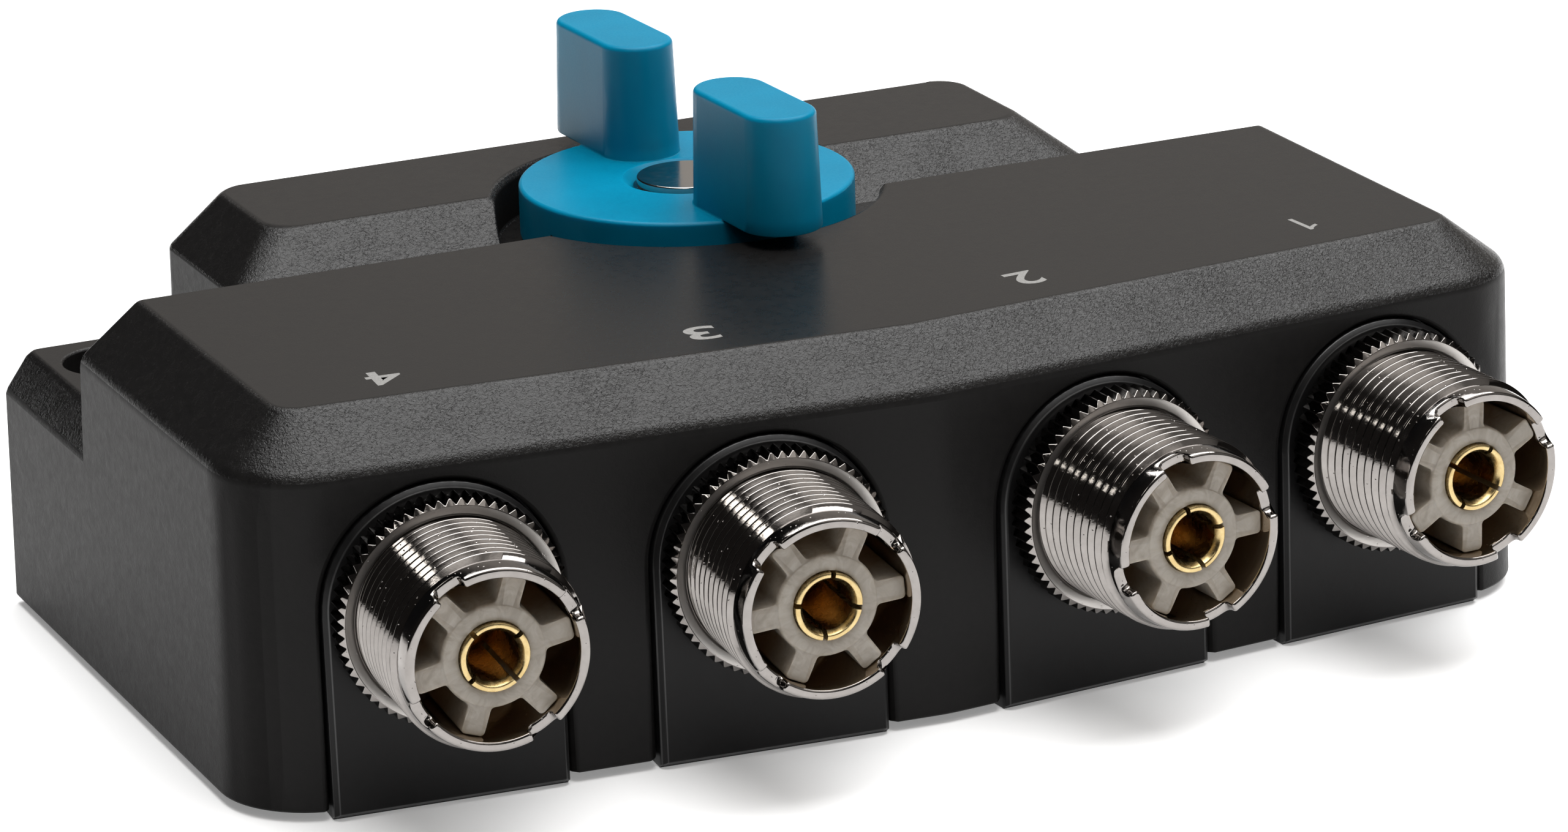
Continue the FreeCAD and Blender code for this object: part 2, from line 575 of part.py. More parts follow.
# on the leaning panels the nut bears on the lower part of its face
RING_NUT = ring_nut_shape(N.panel_proud - t * (N.port_height - 8.6) + 0.01)
RING_NUT_REAR = ring_nut_shape(N.panel_proud)
for key in PORTS:
    tag = NAMES[key]
    # threaded outer shell with a flange inside the case and four notches in the rim
    b = new_body(tag % "shell")
    revolve(b, [(D.bore_radius, -D.flange_back), (D.flange_radius, -D.flange_back), (D.flange_radius, -D.flange_front),
                (D.shell_neck, -D.flange_front), (D.shell_neck, D.thread_start), (D.shell_major, D.thread_start), (D.shell_major, D.thread_end), (D.rim_radius + 0.22, D.thread_end + 0.35),
                (D.rim_radius, D.rim_plane - 0.15), (D.rim_radius - 0.15, D.rim_plane), (D.bore_radius + 0.15, D.rim_plane),
                (D.bore_radius, D.rim_plane - 0.15)], "shell")
    f = pocket(b, lambda s: draw_polygon(s, [(5.5, -D.notch_width / 2), (8.5, -D.notch_width / 2), (8.5, D.notch_width / 2), (5.5, D.notch_width / 2)]),
               D.rim_plane + 0.5, D.notch_depth + 0.5, "notch")
    ring_of(b, f, 4, name="notches")
    b.Placement = port_frame(key, SHELL_SPIN[key])

    # knurled ring nut that clamps the shell to its panel
    f = doc.addObject("Part::Feature", tag % "ring_nut")
    f.Shape = (RING_NUT if key != "common" else RING_NUT_REAR).copy()
    f.Placement = port_frame(key, 1.3 * (PORTS.index(key)))
    keep(f, tag % "ring_nut")

    # moulded insulator: a hub held by six spokes in front of a solid plug
    b = new_body(tag % "insulator")
    revolve(b, [(0, -D.flange_back - 1.5), (4.6, -D.flange_back - 1.5), (4.6, -D.flange_back), (D.bore_radius - 0.03, -D.flange_back),
                (D.bore_radius - 0.03, D.pocket_floor), (D.hub_radius + 0.12, D.pocket_floor), (D.hub_radius, D.hub_face - 0.12),
                (D.hub_radius - 0.12, D.hub_face), (0, D.hub_face)], "plug")
    f = pad(b, lambda s: draw_polygon(s, [(2.0, -D.spoke_width / 2), (D.bore_radius - 0.1, -D.spoke_width / 2),
                                          (D.bore_radius - 0.1, D.spoke_width / 2), (2.0, D.spoke_width / 2)]),
            D.pocket_floor - 0.5, D.spoke_face - D.pocket_floor + 0.5, "spoke")
    ring_of(b, f, 6, name="spokes")
    pocket(b, lambda s: draw_circle(s, 0, 0, D.tip_radius), D.hub_face + 1, D.hub_face + 1 - 3.0, "tip_seat")
    pocket(b, lambda s: draw_circle(s, 0, 0, D.tail_radius), 3.5, D.flange_back + 8.0, "tail_bore")
    b.Placement = port_frame(key, SPOKE_SPIN[key])

    # gold plated centre contact: slotted tip, pin through the plug, flat tail for the strip
    b = new_body(tag % "contact")
    back = D.flange_back + (2.4 if key != "common" else 2.1)
    revolve(b, [(0, -back), (D.tail_radius, -back), (D.tail_radius, 3.0), (D.tip_radius, 3.0), (D.tip_radius, D.tip_face - 0.1),
                (D.tip_radius - 0.1, D.tip_face), (D.tip_bore + 0.35, D.tip_face), (D.tip_bore, D.tip_face - 0.6), (D.tip_bore, 5.0), (0, 4.2)], "pin")
    f = pocket(b, lambda s: draw_polygon(s, [(1.0, -0.17), (3.5, -0.17), (3.5, 0.17), (1.0, 0.17)]), D.tip_face + 0.5, 6.5, "slot", spin=SLOT_SPIN[key])
    ring_of(b, f, 4, name="slots")
    # the common contact has no tail: the wiper's foot meets the end of its pin
    if key != "common":
        pad(b, lambda s: draw_polygon(s, [(-D.tab_width / 2, D.tab_top - D.tab_thick), (D.tab_width / 2, D.tab_top - D.tab_thick),
                                          (D.tab_width / 2, D.tab_top), (-D.tab_width / 2, D.tab_top)]), -D.tab_end, D.tab_end - D.flange_back - 2.0, "tail")
    b.Placement = port_frame(key)

# ------------------------------------------------------------------ earth straps behind the panels
def bus_shape(key_a, key_b, foot):
    """A strip clamped by the shells of two ports, with a foot turned inwards along the tray."""
    side = -1 if key_a in (3, 4) else 1
    zo, zi = -N.panel_back, -N.flange_front
    span0, span1 = N.port_inner - 9.0, N.port_outer + 9.0
    x0, x1 = (span0, span1) if side > 0 else (-span1, -span0)
    s = Part.makeBox(x1 - x0, 8.6 + N.port_height - N.plate_top, zo - zi, V(x0, N.plate_top - N.port_height, zi))
    s = s.fuse(Part.makeBox(x1 - x0, zo - zi, foot, V(x0, N.plate_top - N.port_height, zi - foot + (zo - zi))))
    for d in (N.port_inner, N.port_outer):
        s = s.cut(Part.makeCylinder(N.panel_hole, 20, V(side * d, 0, -10)))
    px = N.post_front_x / math.cos(VEE)
    s = s.cut(Part.makeCylinder(4.7, 60, V(side * px, 20, -14.8), V(0, -1, 0)))
    pl = PL(V(0, 0, N.port_height), ROT(V(0, 0, 1), side * N.vee_angle).multiply(ROT(V(1, 0, 0), 90)))
    s.Placement = pl
    return s


for label, a, b_ in (("earth_strap_left", 4, 3), ("earth_strap_right", 1, 2)):
    f = doc.addObject("Part::Feature", label)
    f.Shape = bus_shape(a, b_, 9.0).removeSplitter()
    f.Placement = PL(V(0, -YS, 0), ROT())
    keep(f, label)
f = doc.addObject("Part::Feature", "earth_strap_rear")
s = Part.makeBox(24.0, 8.6 + N.port_height - N.plate_top, N.flange_front - N.panel_back, V(-12.0, N.plate_top - N.port_height, -N.flange_front))
s = s.fuse(Part.makeBox(24.0, 0.8, 9.0, V(-12.0, N.plate_top - N.port_height, -N.flange_front - 8.2)))
s = s.cut(Part.makeCylinder(N.panel_hole, 20, V(0, 0, -10))).removeSplitter()
pf = port_frame("common")
f.Shape = s
f.Placement = pf
keep(f, "earth_strap_rear")

# earth plate that joins the three straps along the floor of the tray
b = new_body("earth_plate")
pad(b, lambda s: draw_polygon(s, [(-21.0, 8.6 - D.y_shift), (21.0, 8.6 - D.y_shift), (21.0, 44.0 - D.y_shift), (10.0, 50.0 - D.y_shift), (10.0, D.rear_back - 6.5 - D.y_shift),
                                  (-10.0, D.rear_back - 6.5 - D.y_shift), (-10.0, 50.0 - D.y_shift), (-21.0, 44.0 - D.y_shift)]), D.plate_top + 0.8, 0.6, "sheet")
b.Placement = PL(V(0, 0, 0), ROT())

# ------------------------------------------------------------------ rotary switch, fixed side
b = new_body("switch_frame")
pad(b, lambda s: draw_polygon(s, [(-D.frame_half_x, -D.frame_half_y + 3), (-D.frame_half_x + 3, -D.frame_half_y), (D.frame_half_x - 3, -D.frame_half_y), (D.frame_half_x, -D.frame_half_y + 3),
                                  (D.frame_half_x, D.frame_half_y - 3), (D.frame_half_x - 3, D.frame_half_y), (-D.frame_half_x + 3, D.frame_half_y), (-D.frame_half_x, D.frame_half_y - 3)]),
    D.frame_bottom, D.frame_top - D.frame_bottom, "plate")
pad(b, lambda s: draw_circle(s, 0, 0, D.bush_radius), D.frame_bottom, D.bush_top - D.frame_bottom, "bush")
# turned-down lugs that stop the index arm a little past the outer positions
def lug(sign):
    a = math.radians(-90 + sign * 57.0)
    u, n = (math.cos(a), math.sin(a)), (-math.sin(a), math.cos(a))
    return [(u[0] * r + n[0] * w_, u[1] * r + n[1] * w_) for r, w_ in ((9.4, -0.6), (11.6, -0.6), (11.6, 0.6), (9.4, 0.6))]


pad(b, lambda s: draw_polygon(s, lug(-1)), D.frame_bottom - 4.0, 4.5, "stop_left")
pad(b, lambda s: draw_polygon(s, lug(1)), D.frame_bottom - 4.0, 4.5, "stop_right")
pocket(b, lambda s: draw_circle(s, 0, 0, D.bush_bore), D.bush_top + 1, D.bush_top - D.frame_bottom + 6, "bore")
for nm, sx in (("screw_hole_left", -1), ("screw_hole_right", 1)):
    pocket(b, lambda s: draw_circle(s, sx * 11.1, 0, 1.05), D.frame_top + 1, 8.0, nm)
# four detent dimples, thirty degrees apart, on each side
for k, ang in enumerate((45.0, 75.0, 105.0, 135.0)):
    for half in (0, 180):
        a = math.radians(ang + half)
        pocket(b, lambda s: draw_circle(s, D.ball_circle * math.cos(a), D.ball_circle * math.sin(a), 0.75), D.frame_bottom + 0.4, 1.4, "dimple_%d_%d" % (k, half))
on_axis(b)

b = new_body("bush_washer")
pad(b, lambda s: (draw_circle(s, 0, 0, 6.6), draw_circle(s, 0, 0, D.bush_radius)), D.recess_floor, 0.4, "washer")
on_axis(b)

b = new_body("bush_nut")
hexa = [(6.75 * math.cos(math.radians(60 * k)), 6.75 * math.sin(math.radians(60 * k))) for k in range(6)]
pad(b, lambda s: (draw_polygon(s, hexa), draw_circle(s, 0, 0, D.bush_radius)), D.recess_floor + 0.4, 1.6, "hex")
on_axis(b, 11.0)

b = new_body("stator_wafer")
pad(b, lambda s: draw_circle(s, 0, 0, D.wafer_radius), D.wafer_bottom, D.wafer_top - D.wafer_bottom, "wafer")
for nm, sx in (("ear_left", -1), ("ear_right", 1)):
    pad(b, lambda s: draw_circle(s, sx * 11.1, 0, 2.5), D.wafer_bottom, D.wafer_top - D.wafer_bottom, nm)
for nm, sx in (("hole_left", -1), ("hole_right", 1)):
    pocket(b, lambda s: draw_circle(s, sx * 11.1, 0, 1.05), D.wafer_top + 1, 5.0, nm)
pocket(b, lambda s: draw_circle(s, 0, 0, D.wafer_hole), D.wafer_top + 1, 5.0, "rotor_hole")
on_axis(b)

spacers, wafer_screws = [], []
for nm, sx in (("left", -1), ("right", 1)):
    b = new_body("wafer_spacer_" + nm, kept=False)
    spacers.append(b)
    pad(b, lambda s: (draw_circle(s, 0, 0, 2.0), draw_circle(s, 0, 0, 1.05)), D.wafer_top, D.frame_bottom - D.wafer_top, "tube")
    b.Placement = PL(AXIS + V(sx * 11.1, 0, 0), ROT())
    b = new_body("wafer_screw_" + nm, kept=False)
    wafer_screws.append(b)
    revolve(b, [(0, 13.2), (1.7, 13.2), (1.95, 13.6), (1.95, D.wafer_bottom), (1.0, D.wafer_bottom), (1.0, D.frame_top), (0, D.frame_top)], "screw")
    b.Placement = PL(AXIS + V(sx * 11.1, 0, 0), ROT())
group("wafer_spacers", spacers)
group("wafer_screws", wafer_screws)


def clip(label, inner, outer_r, tail, angle, reach=None):
    """A spring clip on the wafer: a lower leaf with a tail, a bend and an upper leaf that
    together straddle the rotor blade. Drawn along +X, then turned to its place."""
    b = new_body(label)
    pad(b, lambda s: draw_polygon(s, [(inner, -1.3), (tail, -1.3), (tail, 1.3), (inner, 1.3)]), D.wafer_top, D.clip_lower_top - D.wafer_top, "lower_leaf")
    pad(b, lambda s: draw_polygon(s, [(outer_r - 0.4, -1.3), (outer_r, -1.3), (outer_r, 1.3), (outer_r - 0.4, 1.3)]), D.wafer_top, D.clip_upper_top - D.wafer_top, "bend")
    near = inner if reach is None else reach
    pad(b, lambda s: draw_polygon(s, [(near, -1.3), (outer_r, -1.3), (outer_r, 1.3), (near, 1.3)]), D.clip_upper_bottom, D.clip_upper_top - D.clip_upper_bottom, "upper_leaf")
    on_axis(b, angle)
    return b


STATIONS = {1: -45.0, 2: -75.0, 3: -105.0, 4: -135.0}
for key, ang in STATIONS.items():
    clip("fixed_contact_%d" % key, 9.5, 12.4, 15.2, ang)
clip("common_wiper", 9.5, 10.0, 12.65, 90.0, reach=5.0)

# copper strips from the sockets to the clips
for key, ang in STATIONS.items():
    pf = port_frame(key)
    a = pf.multVec(V(0, 0, -N.tab_end + 0.2))
    c = AXIS + V(13.4 * math.cos(math.radians(ang)), 13.4 * math.sin(math.radians(ang)), 0)
    d = c - V(a.x, a.y, 0)
    b = new_body("feed_strip_%d" % key)
    run = d.Length
    pad(b, lambda s: draw_polygon(s, [(-0.6, -1.25), (run - 0.2, -1.25), (run + 0.7, -0.6), (run + 0.7, 0.6), (run - 0.2, 1.25), (-0.6, 1.25)]), D.clip_lower_top, D.strip_top - D.clip_lower_top, "strip")
    b.Placement = PL(V(a.x, a.y, 0), ROT(V(0, 0, 1), math.degrees(math.atan2(d.y, d.x))))

# ------------------------------------------------------------------ moving side, drawn pointing along +X then turned to the photographed place
POSE = -90.0 + N.knob_turned
b = new_body("knob")
revolve(b, [(0, D.disc_bottom), (D.disc_radius - 0.25, D.disc_bottom), (D.disc_radius, D.disc_bottom + 0.25), (D.disc_radius, D.disc_top - 0.3),
            (D.disc_radius - 0.09, D.disc_top - 0.09), (D.disc_radius - 0.3, D.disc_top), (0, D.disc_top)], "disc")
grip = pad(b, lambda s: draw_stadium(s, D.grip_centre, D.grip_half, D.grip_radius), D.disc_top, D.grip_top - D.disc_top, "grip", taper=D.grip_taper)
ring_of(b, grip, 2, name="grips")
pocket(b, lambda s: draw_circle(s, 0, 0, D.knob_hollow), D.knob_web, D.knob_web - D.disc_bottom + 1, "hollow")
pocket(b, lambda s: draw_circle(s, 0, 0, D.hub_insert), D.disc_top + 1, 6.0, "hub_seat")
s = new_sketch(b, "mouth", "XZ_Plane")
draw_polygon(s, [(0, D.disc_top - 0.95), (D.hub_insert, D.disc_top - 0.95), (D.knob_mouth, D.disc_top), (D.knob_mouth, D.disc_top + 0.4), (0, D.disc_top + 0.4)])
f = b.newObject("PartDesign::Groove", "mouth_turned")
f.Profile = s
f.ReferenceAxis = (s, ["V_Axis"])
f.Angle = 360.0
b.Tip = f
doc.recompute()
edges = []
for k, e in enumerate(b.Shape.Edges, start=1):
    bb = e.BoundBox
    if abs(bb.ZMin - N.grip_top) < 1e-3 and abs(bb.ZMax - N.grip_top) < 1e-3:
        edges.append("Edge%d" % k)
f2 = b.newObject("PartDesign::Fillet", "grip_edges")
f2.Base = (f, edges)
f2.Radius = 0.45
b.Tip = f2
on_axis(b, POSE)

# plated hub with a flange under the web of the knob, its clamp screw and closing cap
b = new_body("knob_hub")
revolve(b, [(0, D.hub_bottom), (6.4, D.hub_bottom), (6.4, D.knob_web), (D.hub_insert, D.knob_web), (D.hub_insert, D.hub_top), (0, D.hub_top)], "hub")
pocket(b, lambda s: draw_circle(s, 0, 0, D.shaft_radius), D.shaft_top, D.shaft_top - D.hub_bottom + 1, "shaft_seat")
pocket(b, lambda s: draw_circle(s, 0, 0, 2.3), D.hub_top + 1, D.hub_top - D.shaft_top + 1.01, "screw_seat")
on_axis(b, POSE)

b = new_body("hub_screw")
revolve(b, [(0, 26.0), (1.1, 26.4), (1.1, D.shaft_top), (2.25, D.shaft_top), (2.25, D.hub_top - 0.1), (0, D.hub_top - 0.1)], "screw")
pocket(b, lambda s: draw_polygon(s, [(-3, -0.25), (3, -0.25), (3, 0.25), (-3, 0.25)]), D.hub_top + 0.5, 1.0, "slot")
on_axis(b, POSE + 30)

b = new_body("hub_cap")
revolve(b, [(0, D.hub_top), (D.cap_top_radius, D.hub_top), (D.cap_top_radius, D.cap_top - 0.08), (D.cap_top_radius - 0.08, D.cap_top), (0, D.cap_top)], "cap")
on_axis(b, POSE)

b = new_body("shaft")
revolve(b, [(0, D.shaft_bottom), (D.shaft_radius - 0.4, D.shaft_bottom), (D.shaft_radius, D.shaft_bottom + 0.4), (D.shaft_radius, 23.45), (2.4, 23.45), (2.4, 24.0), (D.shaft_radius, 24.0),
            (D.shaft_radius, D.shaft_top), (0, D.shaft_top)], "spindle")
pocket(b, lambda s: draw_circle(s, 0, 0, 1.1), D.shaft_top + 1, D.shaft_top - 26.0 + 1.5, "screw_hole")
on_axis(b, POSE)

b = new_body("retaining_ring")
pad(b, lambda s: (draw_circle(s, 0, 0, 4.3), draw_circle(s, 0, 0, 2.4)), 23.5, 0.45, "ring")
pocket(b, lambda s: draw_polygon(s, [(0, -1.5), (6, -1.5), (6, 1.5), (0, 1.5)]), 24.5, 2.0, "mouth")
on_axis(b, POSE + 40)

b = new_body("index_arm")
pad(b, lambda s: draw_circle(s, 0, 0, 5.0), 20.5, 1.6, "boss")
pad(b, lambda s: draw_polygon(s, [(-8.6, -1.9), (8.6, -1.9), (8.6, 1.9), (-8.6, 1.9)]), 20.5, 1.6, "bar")
pad(b, lambda s: draw_polygon(s, [(8.0, -1.0), (11.4, -1.0), (11.4, 1.0), (8.0, 1.0)]), 20.5, 1.6, "tongue")
pocket(b, lambda s: draw_circle(s, 0, 0, D.shaft_radius), 24.0, 6.0, "bore")
for nm, sx in (("pocket_a", -1), ("pocket_b", 1)):
    pocket(b, lambda s: draw_circle(s, sx * D.ball_circle, 0, 1.35), 23.0, 1.9, nm)
on_axis(b, POSE)

balls, springs = [], []
for nm, sx in (("a", -1), ("b", 1)):
    place = AXIS + ROT(V(0, 0, 1), POSE).multVec(V(sx * N.ball_circle, 0, 0))
    f = doc.addObject("Part::Sphere", "detent_ball_" + nm)
    f.Radius = N.ball_radius
    f.setExpression("Radius", "dims.ball_radius")
    f.Placement = PL(place + V(0, 0, 22.95), ROT())
    balls.append(f)
    # short coil spring under the ball
    helix = Part.makeHelix(0.3, 0.42, 0.8)
    wire = Part.Wire(helix.Edges)
    prof = Part.Wire([Part.makeCircle(0.11, V(0.8, 0, 0), V(0, 1, 0))])
    coil = wire.makePipeShell([prof], True, True)
    coil.translate(V(0, 0, 0.0))
    f = doc.addObject("Part::Feature", "detent_spring_" + nm)
    f.Shape = coil
    f.Placement = PL(place + V(0, 0, 21.26), ROT())
    springs.append(f)
group("detent_balls", balls)
group("detent_springs", springs)

b = new_body("rotor_disc")
revolve(b, [(D.shaft_radius, 15.9), (D.rotor_radius, 15.9), (D.rotor_radius, D.blade_bottom), (D.shaft_radius, D.blade_bottom)], "rotor")
on_axis(b, POSE)

b = new_body("rotor_blade")
pad(b, lambda s: (draw_circle(s, 0, 0, 7.4), draw_circle(s, 0, 0, 3.6)), D.blade_bottom, D.blade_top - D.blade_bottom, "annulus")
pad(b, lambda s: draw_polygon(s, [(6.0, -1.6), (11.2, -1.6), (11.6, -1.2), (11.6, 1.2), (11.2, 1.6), (6.0, 1.6)]), D.blade_bottom, D.blade_top - D.blade_bottom, "finger")
on_axis(b, POSE)

# ------------------------------------------------------------------ checks and files
doc.recompute()
for obj in doc.Objects:
    if "Invalid" in obj.State or "Error" in obj.State:
        raise RuntimeError("failed object: %s %s" % (obj.Name, obj.State))
low, high = V(1e9, 1e9, 1e9), V(-1e9, -1e9, -1e9)
for label, obj in SUBPARTS:
    shape = obj.Shape
    if shape.isNull() or not shape.isValid():
        raise RuntimeError("bad shape: " + label)
    bb = shape.optimalBoundingBox(True, False)
    low = V(min(low.x, bb.XMin), min(low.y, bb.YMin), min(low.z, bb.ZMin))
    high = V(max(high.x, bb.XMax), max(high.y, bb.YMax), max(high.z, bb.ZMax))
    print("%-22s solids %d  volume %.1f  box %.2f %.2f %.2f | %.2f %.2f %.2f" % (label, len(shape.Solids), shape.Volume, bb.XMin, bb.YMin, bb.ZMin, bb.XMax, bb.YMax, bb.ZMax))
print("overall", low, high, "middle of the depth", (low.y + high.y) / 2)

os.makedirs("parts", exist_ok=True)
for label, obj in SUBPARTS:
    obj.Shape.exportStep("parts/%s.step" % label)
print(len(SUBPARTS), "sub-parts written")
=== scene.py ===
import bmesh
import bpy
import json
import math
from mathutils import Matrix, Vector


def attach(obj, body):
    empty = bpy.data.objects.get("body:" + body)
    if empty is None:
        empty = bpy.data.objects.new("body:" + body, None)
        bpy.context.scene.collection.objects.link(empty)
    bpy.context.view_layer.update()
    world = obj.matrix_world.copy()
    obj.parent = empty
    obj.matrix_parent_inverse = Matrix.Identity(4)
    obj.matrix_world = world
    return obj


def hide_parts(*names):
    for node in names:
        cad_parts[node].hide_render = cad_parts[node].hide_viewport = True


# Looks of a four-way antenna switch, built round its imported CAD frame.
# Lengths below are millimetres in the part's own frame; meshes are written in metres.
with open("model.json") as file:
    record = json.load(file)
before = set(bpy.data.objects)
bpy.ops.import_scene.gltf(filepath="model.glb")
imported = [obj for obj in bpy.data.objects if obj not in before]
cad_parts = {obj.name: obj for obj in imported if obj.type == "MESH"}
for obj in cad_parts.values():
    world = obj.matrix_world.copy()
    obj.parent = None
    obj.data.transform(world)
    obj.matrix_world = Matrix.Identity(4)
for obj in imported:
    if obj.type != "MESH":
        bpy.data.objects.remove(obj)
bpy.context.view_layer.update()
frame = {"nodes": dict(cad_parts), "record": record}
nodes = frame["nodes"]
scene = bpy.context.scene
MM = 0.001
VEE = math.radians(4.53)
YS = 36.04
TAU = 2 * math.pi


# ------------------------------------------------------------------ shader helpers
class Net:
    """A principled material with small helpers for procedural detail, in millimetres of the object's own space."""

    def __init__(self, name, color, rough, metal=0.0, **sockets):
        self.m = bpy.data.materials.new(name)
        self.m.use_nodes = True
        self.t = self.m.node_tree
        self.t.nodes.clear()
        self.out = self.t.nodes.new("ShaderNodeOutputMaterial")
        self.b = self.t.nodes.new("ShaderNodeBsdfPrincipled")
        self.t.links.new(self.b.outputs[0], self.out.inputs[0])
        self.b.inputs["Base Color"].default_value = (*color, 1.0)
        self.b.inputs["Roughness"].default_value = rough
        self.b.inputs["Metallic"].default_value = metal
        for k, v in sockets.items():
            self.b.inputs[k.replace("_", " ")].default_value = v
        coord = self.t.nodes.new("ShaderNodeTexCoord")
        scale = self.t.nodes.new("ShaderNodeVectorMath")
        scale.operation = "SCALE"
        scale.inputs["Scale"].default_value = 1000.0
        self.t.links.new(coord.outputs["Object"], scale.inputs[0])
        self.p = scale.outputs[0]
        self.m.diffuse_color = (*color, 1.0)

    def put(self, socket, value):
        if hasattr(value, "is_output") or isinstance(value, bpy.types.NodeSocket):
            self.t.links.new(value, socket)
        else:
            socket.default_value = value

    def drive(self, name, value):
        self.put(self.b.inputs[name], value)

    def math(self, op, a, b=0.0, c=0.0, clamp=False):
        n = self.t.nodes.new("ShaderNodeMath")
        n.operation = op
        n.use_clamp = clamp
        for s, v in zip(n.inputs, (a, b, c)):
            self.put(s, v)
        return n.outputs[0]

    def stretch(self, x, y, z, vec=None):
        n = self.t.nodes.new("ShaderNodeVectorMath")
        n.operation = "MULTIPLY"
        self.put(n.inputs[0], vec or self.p)
        n.inputs[1].default_value = (x, y, z)
        return n.outputs[0]

    def noise(self, scale, detail=3.0, rough=0.5, warp=0.0, vec=None):
        n = self.t.nodes.new("ShaderNodeTexNoise")
        n.inputs["Scale"].default_value = scale
        n.inputs["Detail"].default_value = detail
        n.inputs["Roughness"].default_value = rough
        n.inputs["Distortion"].default_value = warp
        self.put(n.inputs["Vector"], vec or self.p)
        return n.outputs[0]

    def cells(self, scale, feature="F1", vec=None, smooth=None, random=1.0):
        n = self.t.nodes.new("ShaderNodeTexVoronoi")
        n.feature = feature
        n.inputs["Scale"].default_value = scale
        if smooth is not None:
            n.inputs["Smoothness"].default_value = smooth
        n.inputs["Randomness"].default_value = random
        self.put(n.inputs["Vector"], vec or self.p)
        return n.outputs["Distance"]

    def ramp(self, x, lo, hi, a, b, smooth=False):
        n = self.t.nodes.new("ShaderNodeMapRange")
        n.interpolation_type = "SMOOTHSTEP" if smooth else "LINEAR"
        n.clamp = True
        for s, v in zip(("Value", "From Min", "From Max", "To Min", "To Max"), (x, lo, hi, a, b)):
            self.put(n.inputs[s], v)
        return n.outputs[0]

    def blend(self, f, a, b):
        n = self.t.nodes.new("ShaderNodeMix")
        n.data_type = "RGBA"
        self.put(n.inputs[0], f)
        self.put(n.inputs[6], a if not isinstance(a, tuple) else (*a, 1.0))
        self.put(n.inputs[7], b if not isinstance(b, tuple) else (*b, 1.0))
        return n.outputs[2]

    def bump(self, height, depth_mm, strength=1.0, normal=None):
        n = self.t.nodes.new("ShaderNodeBump")
        self.put(n.inputs["Strength"], strength)
        n.inputs["Distance"].default_value = depth_mm * MM
        self.put(n.inputs["Height"], height)
        if normal is not None:
            self.put(n.inputs["Normal"], normal)
        return n.outputs[0]

    def upward(self):
        """How far the true surface looks up: 1 on top faces, 0 on walls."""
        g = self.t.nodes.new("ShaderNodeNewGeometry")
        s = self.t.nodes.new("ShaderNodeSeparateXYZ")
        self.t.links.new(g.outputs["True Normal"], s.inputs[0])
        return s.outputs["Z"]

    def sideways(self):
        """The true surface's share along X: -1 on the walls at the low-X end."""
        g = self.t.nodes.new("ShaderNodeNewGeometry")
        s = self.t.nodes.new("ShaderNodeSeparateXYZ")
        self.t.links.new(g.outputs["True Normal"], s.inputs[0])
        return s.outputs["X"]

    def height(self):
        s = self.t.nodes.new("ShaderNodeSeparateXYZ")
        self.put(s.inputs[0], self.p)
        return s.outputs["Z"]


def case_material():
    """Grained black moulding: coarse pebble on the bevels, fine satin on top, faint mottle on the walls."""
    k = Net("case_black", (0.0068, 0.0066, 0.0064), 0.40, **{"Specular_IOR_Level": 0.15})
    up = k.upward()
    bevel = k.math("MULTIPLY", k.ramp(up, 0.25, 0.5, 0.0, 1.0, True), k.ramp(up, 0.93, 0.985, 1.0, 0.0, True))
    top = k.ramp(up, 0.93, 0.985, 0.0, 1.0, True)
    wall = k.ramp(up, 0.10, 0.45, 1.0, 0.0, True)
    worm = k.noise(2.9, 2.5, 0.55, 1.1)
    pit = k.noise(5.8, 1.0, 0.5)
    patch = k.noise(0.16, 3.0, 0.6)
    coarse = k.math("ADD", k.math("MULTIPLY", k.math("ABSOLUTE", k.math("SUBTRACT", worm, 0.5)), 1.9), k.math("MULTIPLY", pit, 0.55))
    fine = k.noise(6.5, 2.0, 0.6)
    mottle = k.noise(1.1, 4.0, 0.65, 0.4)
    depth = k.math("MULTIPLY", k.math("MULTIPLY", bevel, k.ramp(patch, 0.35, 0.65, 0.75, 1.0)), k.ramp(k.sideways(), -0.60, -0.35, 0.50, 1.0, True))
    depth = k.math("ADD", depth, k.math("MULTIPLY", wall, 0.16))
    n1 = k.bump(coarse, 0.072, depth)
    n2 = k.bump(fine, 0.010, k.math("ADD", k.math("MULTIPLY", top, 0.50), 0.25), n1)
    n3 = k.bump(mottle, 0.05, k.math("MULTIPLY", wall, 0.35), n2)
    k.drive("Normal", n3)
    k.drive("Specular IOR Level", k.math("ADD", k.ramp(k.sideways(), -0.80, -0.55, 0.045, 0.100, True), k.math("ADD", k.math("MULTIPLY", bevel, k.ramp(k.sideways(), -0.60, -0.35, 0.07, 0.166, True)), k.math("MULTIPLY", top, 0.064))))
    rough = k.math("ADD", k.math("MULTIPLY", top, -0.13), k.ramp(mottle, 0.3, 0.7, 0.38, 0.46))
    k.drive("Roughness", k.math("ADD", rough, k.math("MULTIPLY", bevel, -0.16)))
    k.drive("Base Color", k.blend(k.ramp(mottle, 0.3, 0.7, 0.0, 1.0), (0.0070, 0.0067, 0.0066), (0.0093, 0.0088, 0.0086)))
    return k.m


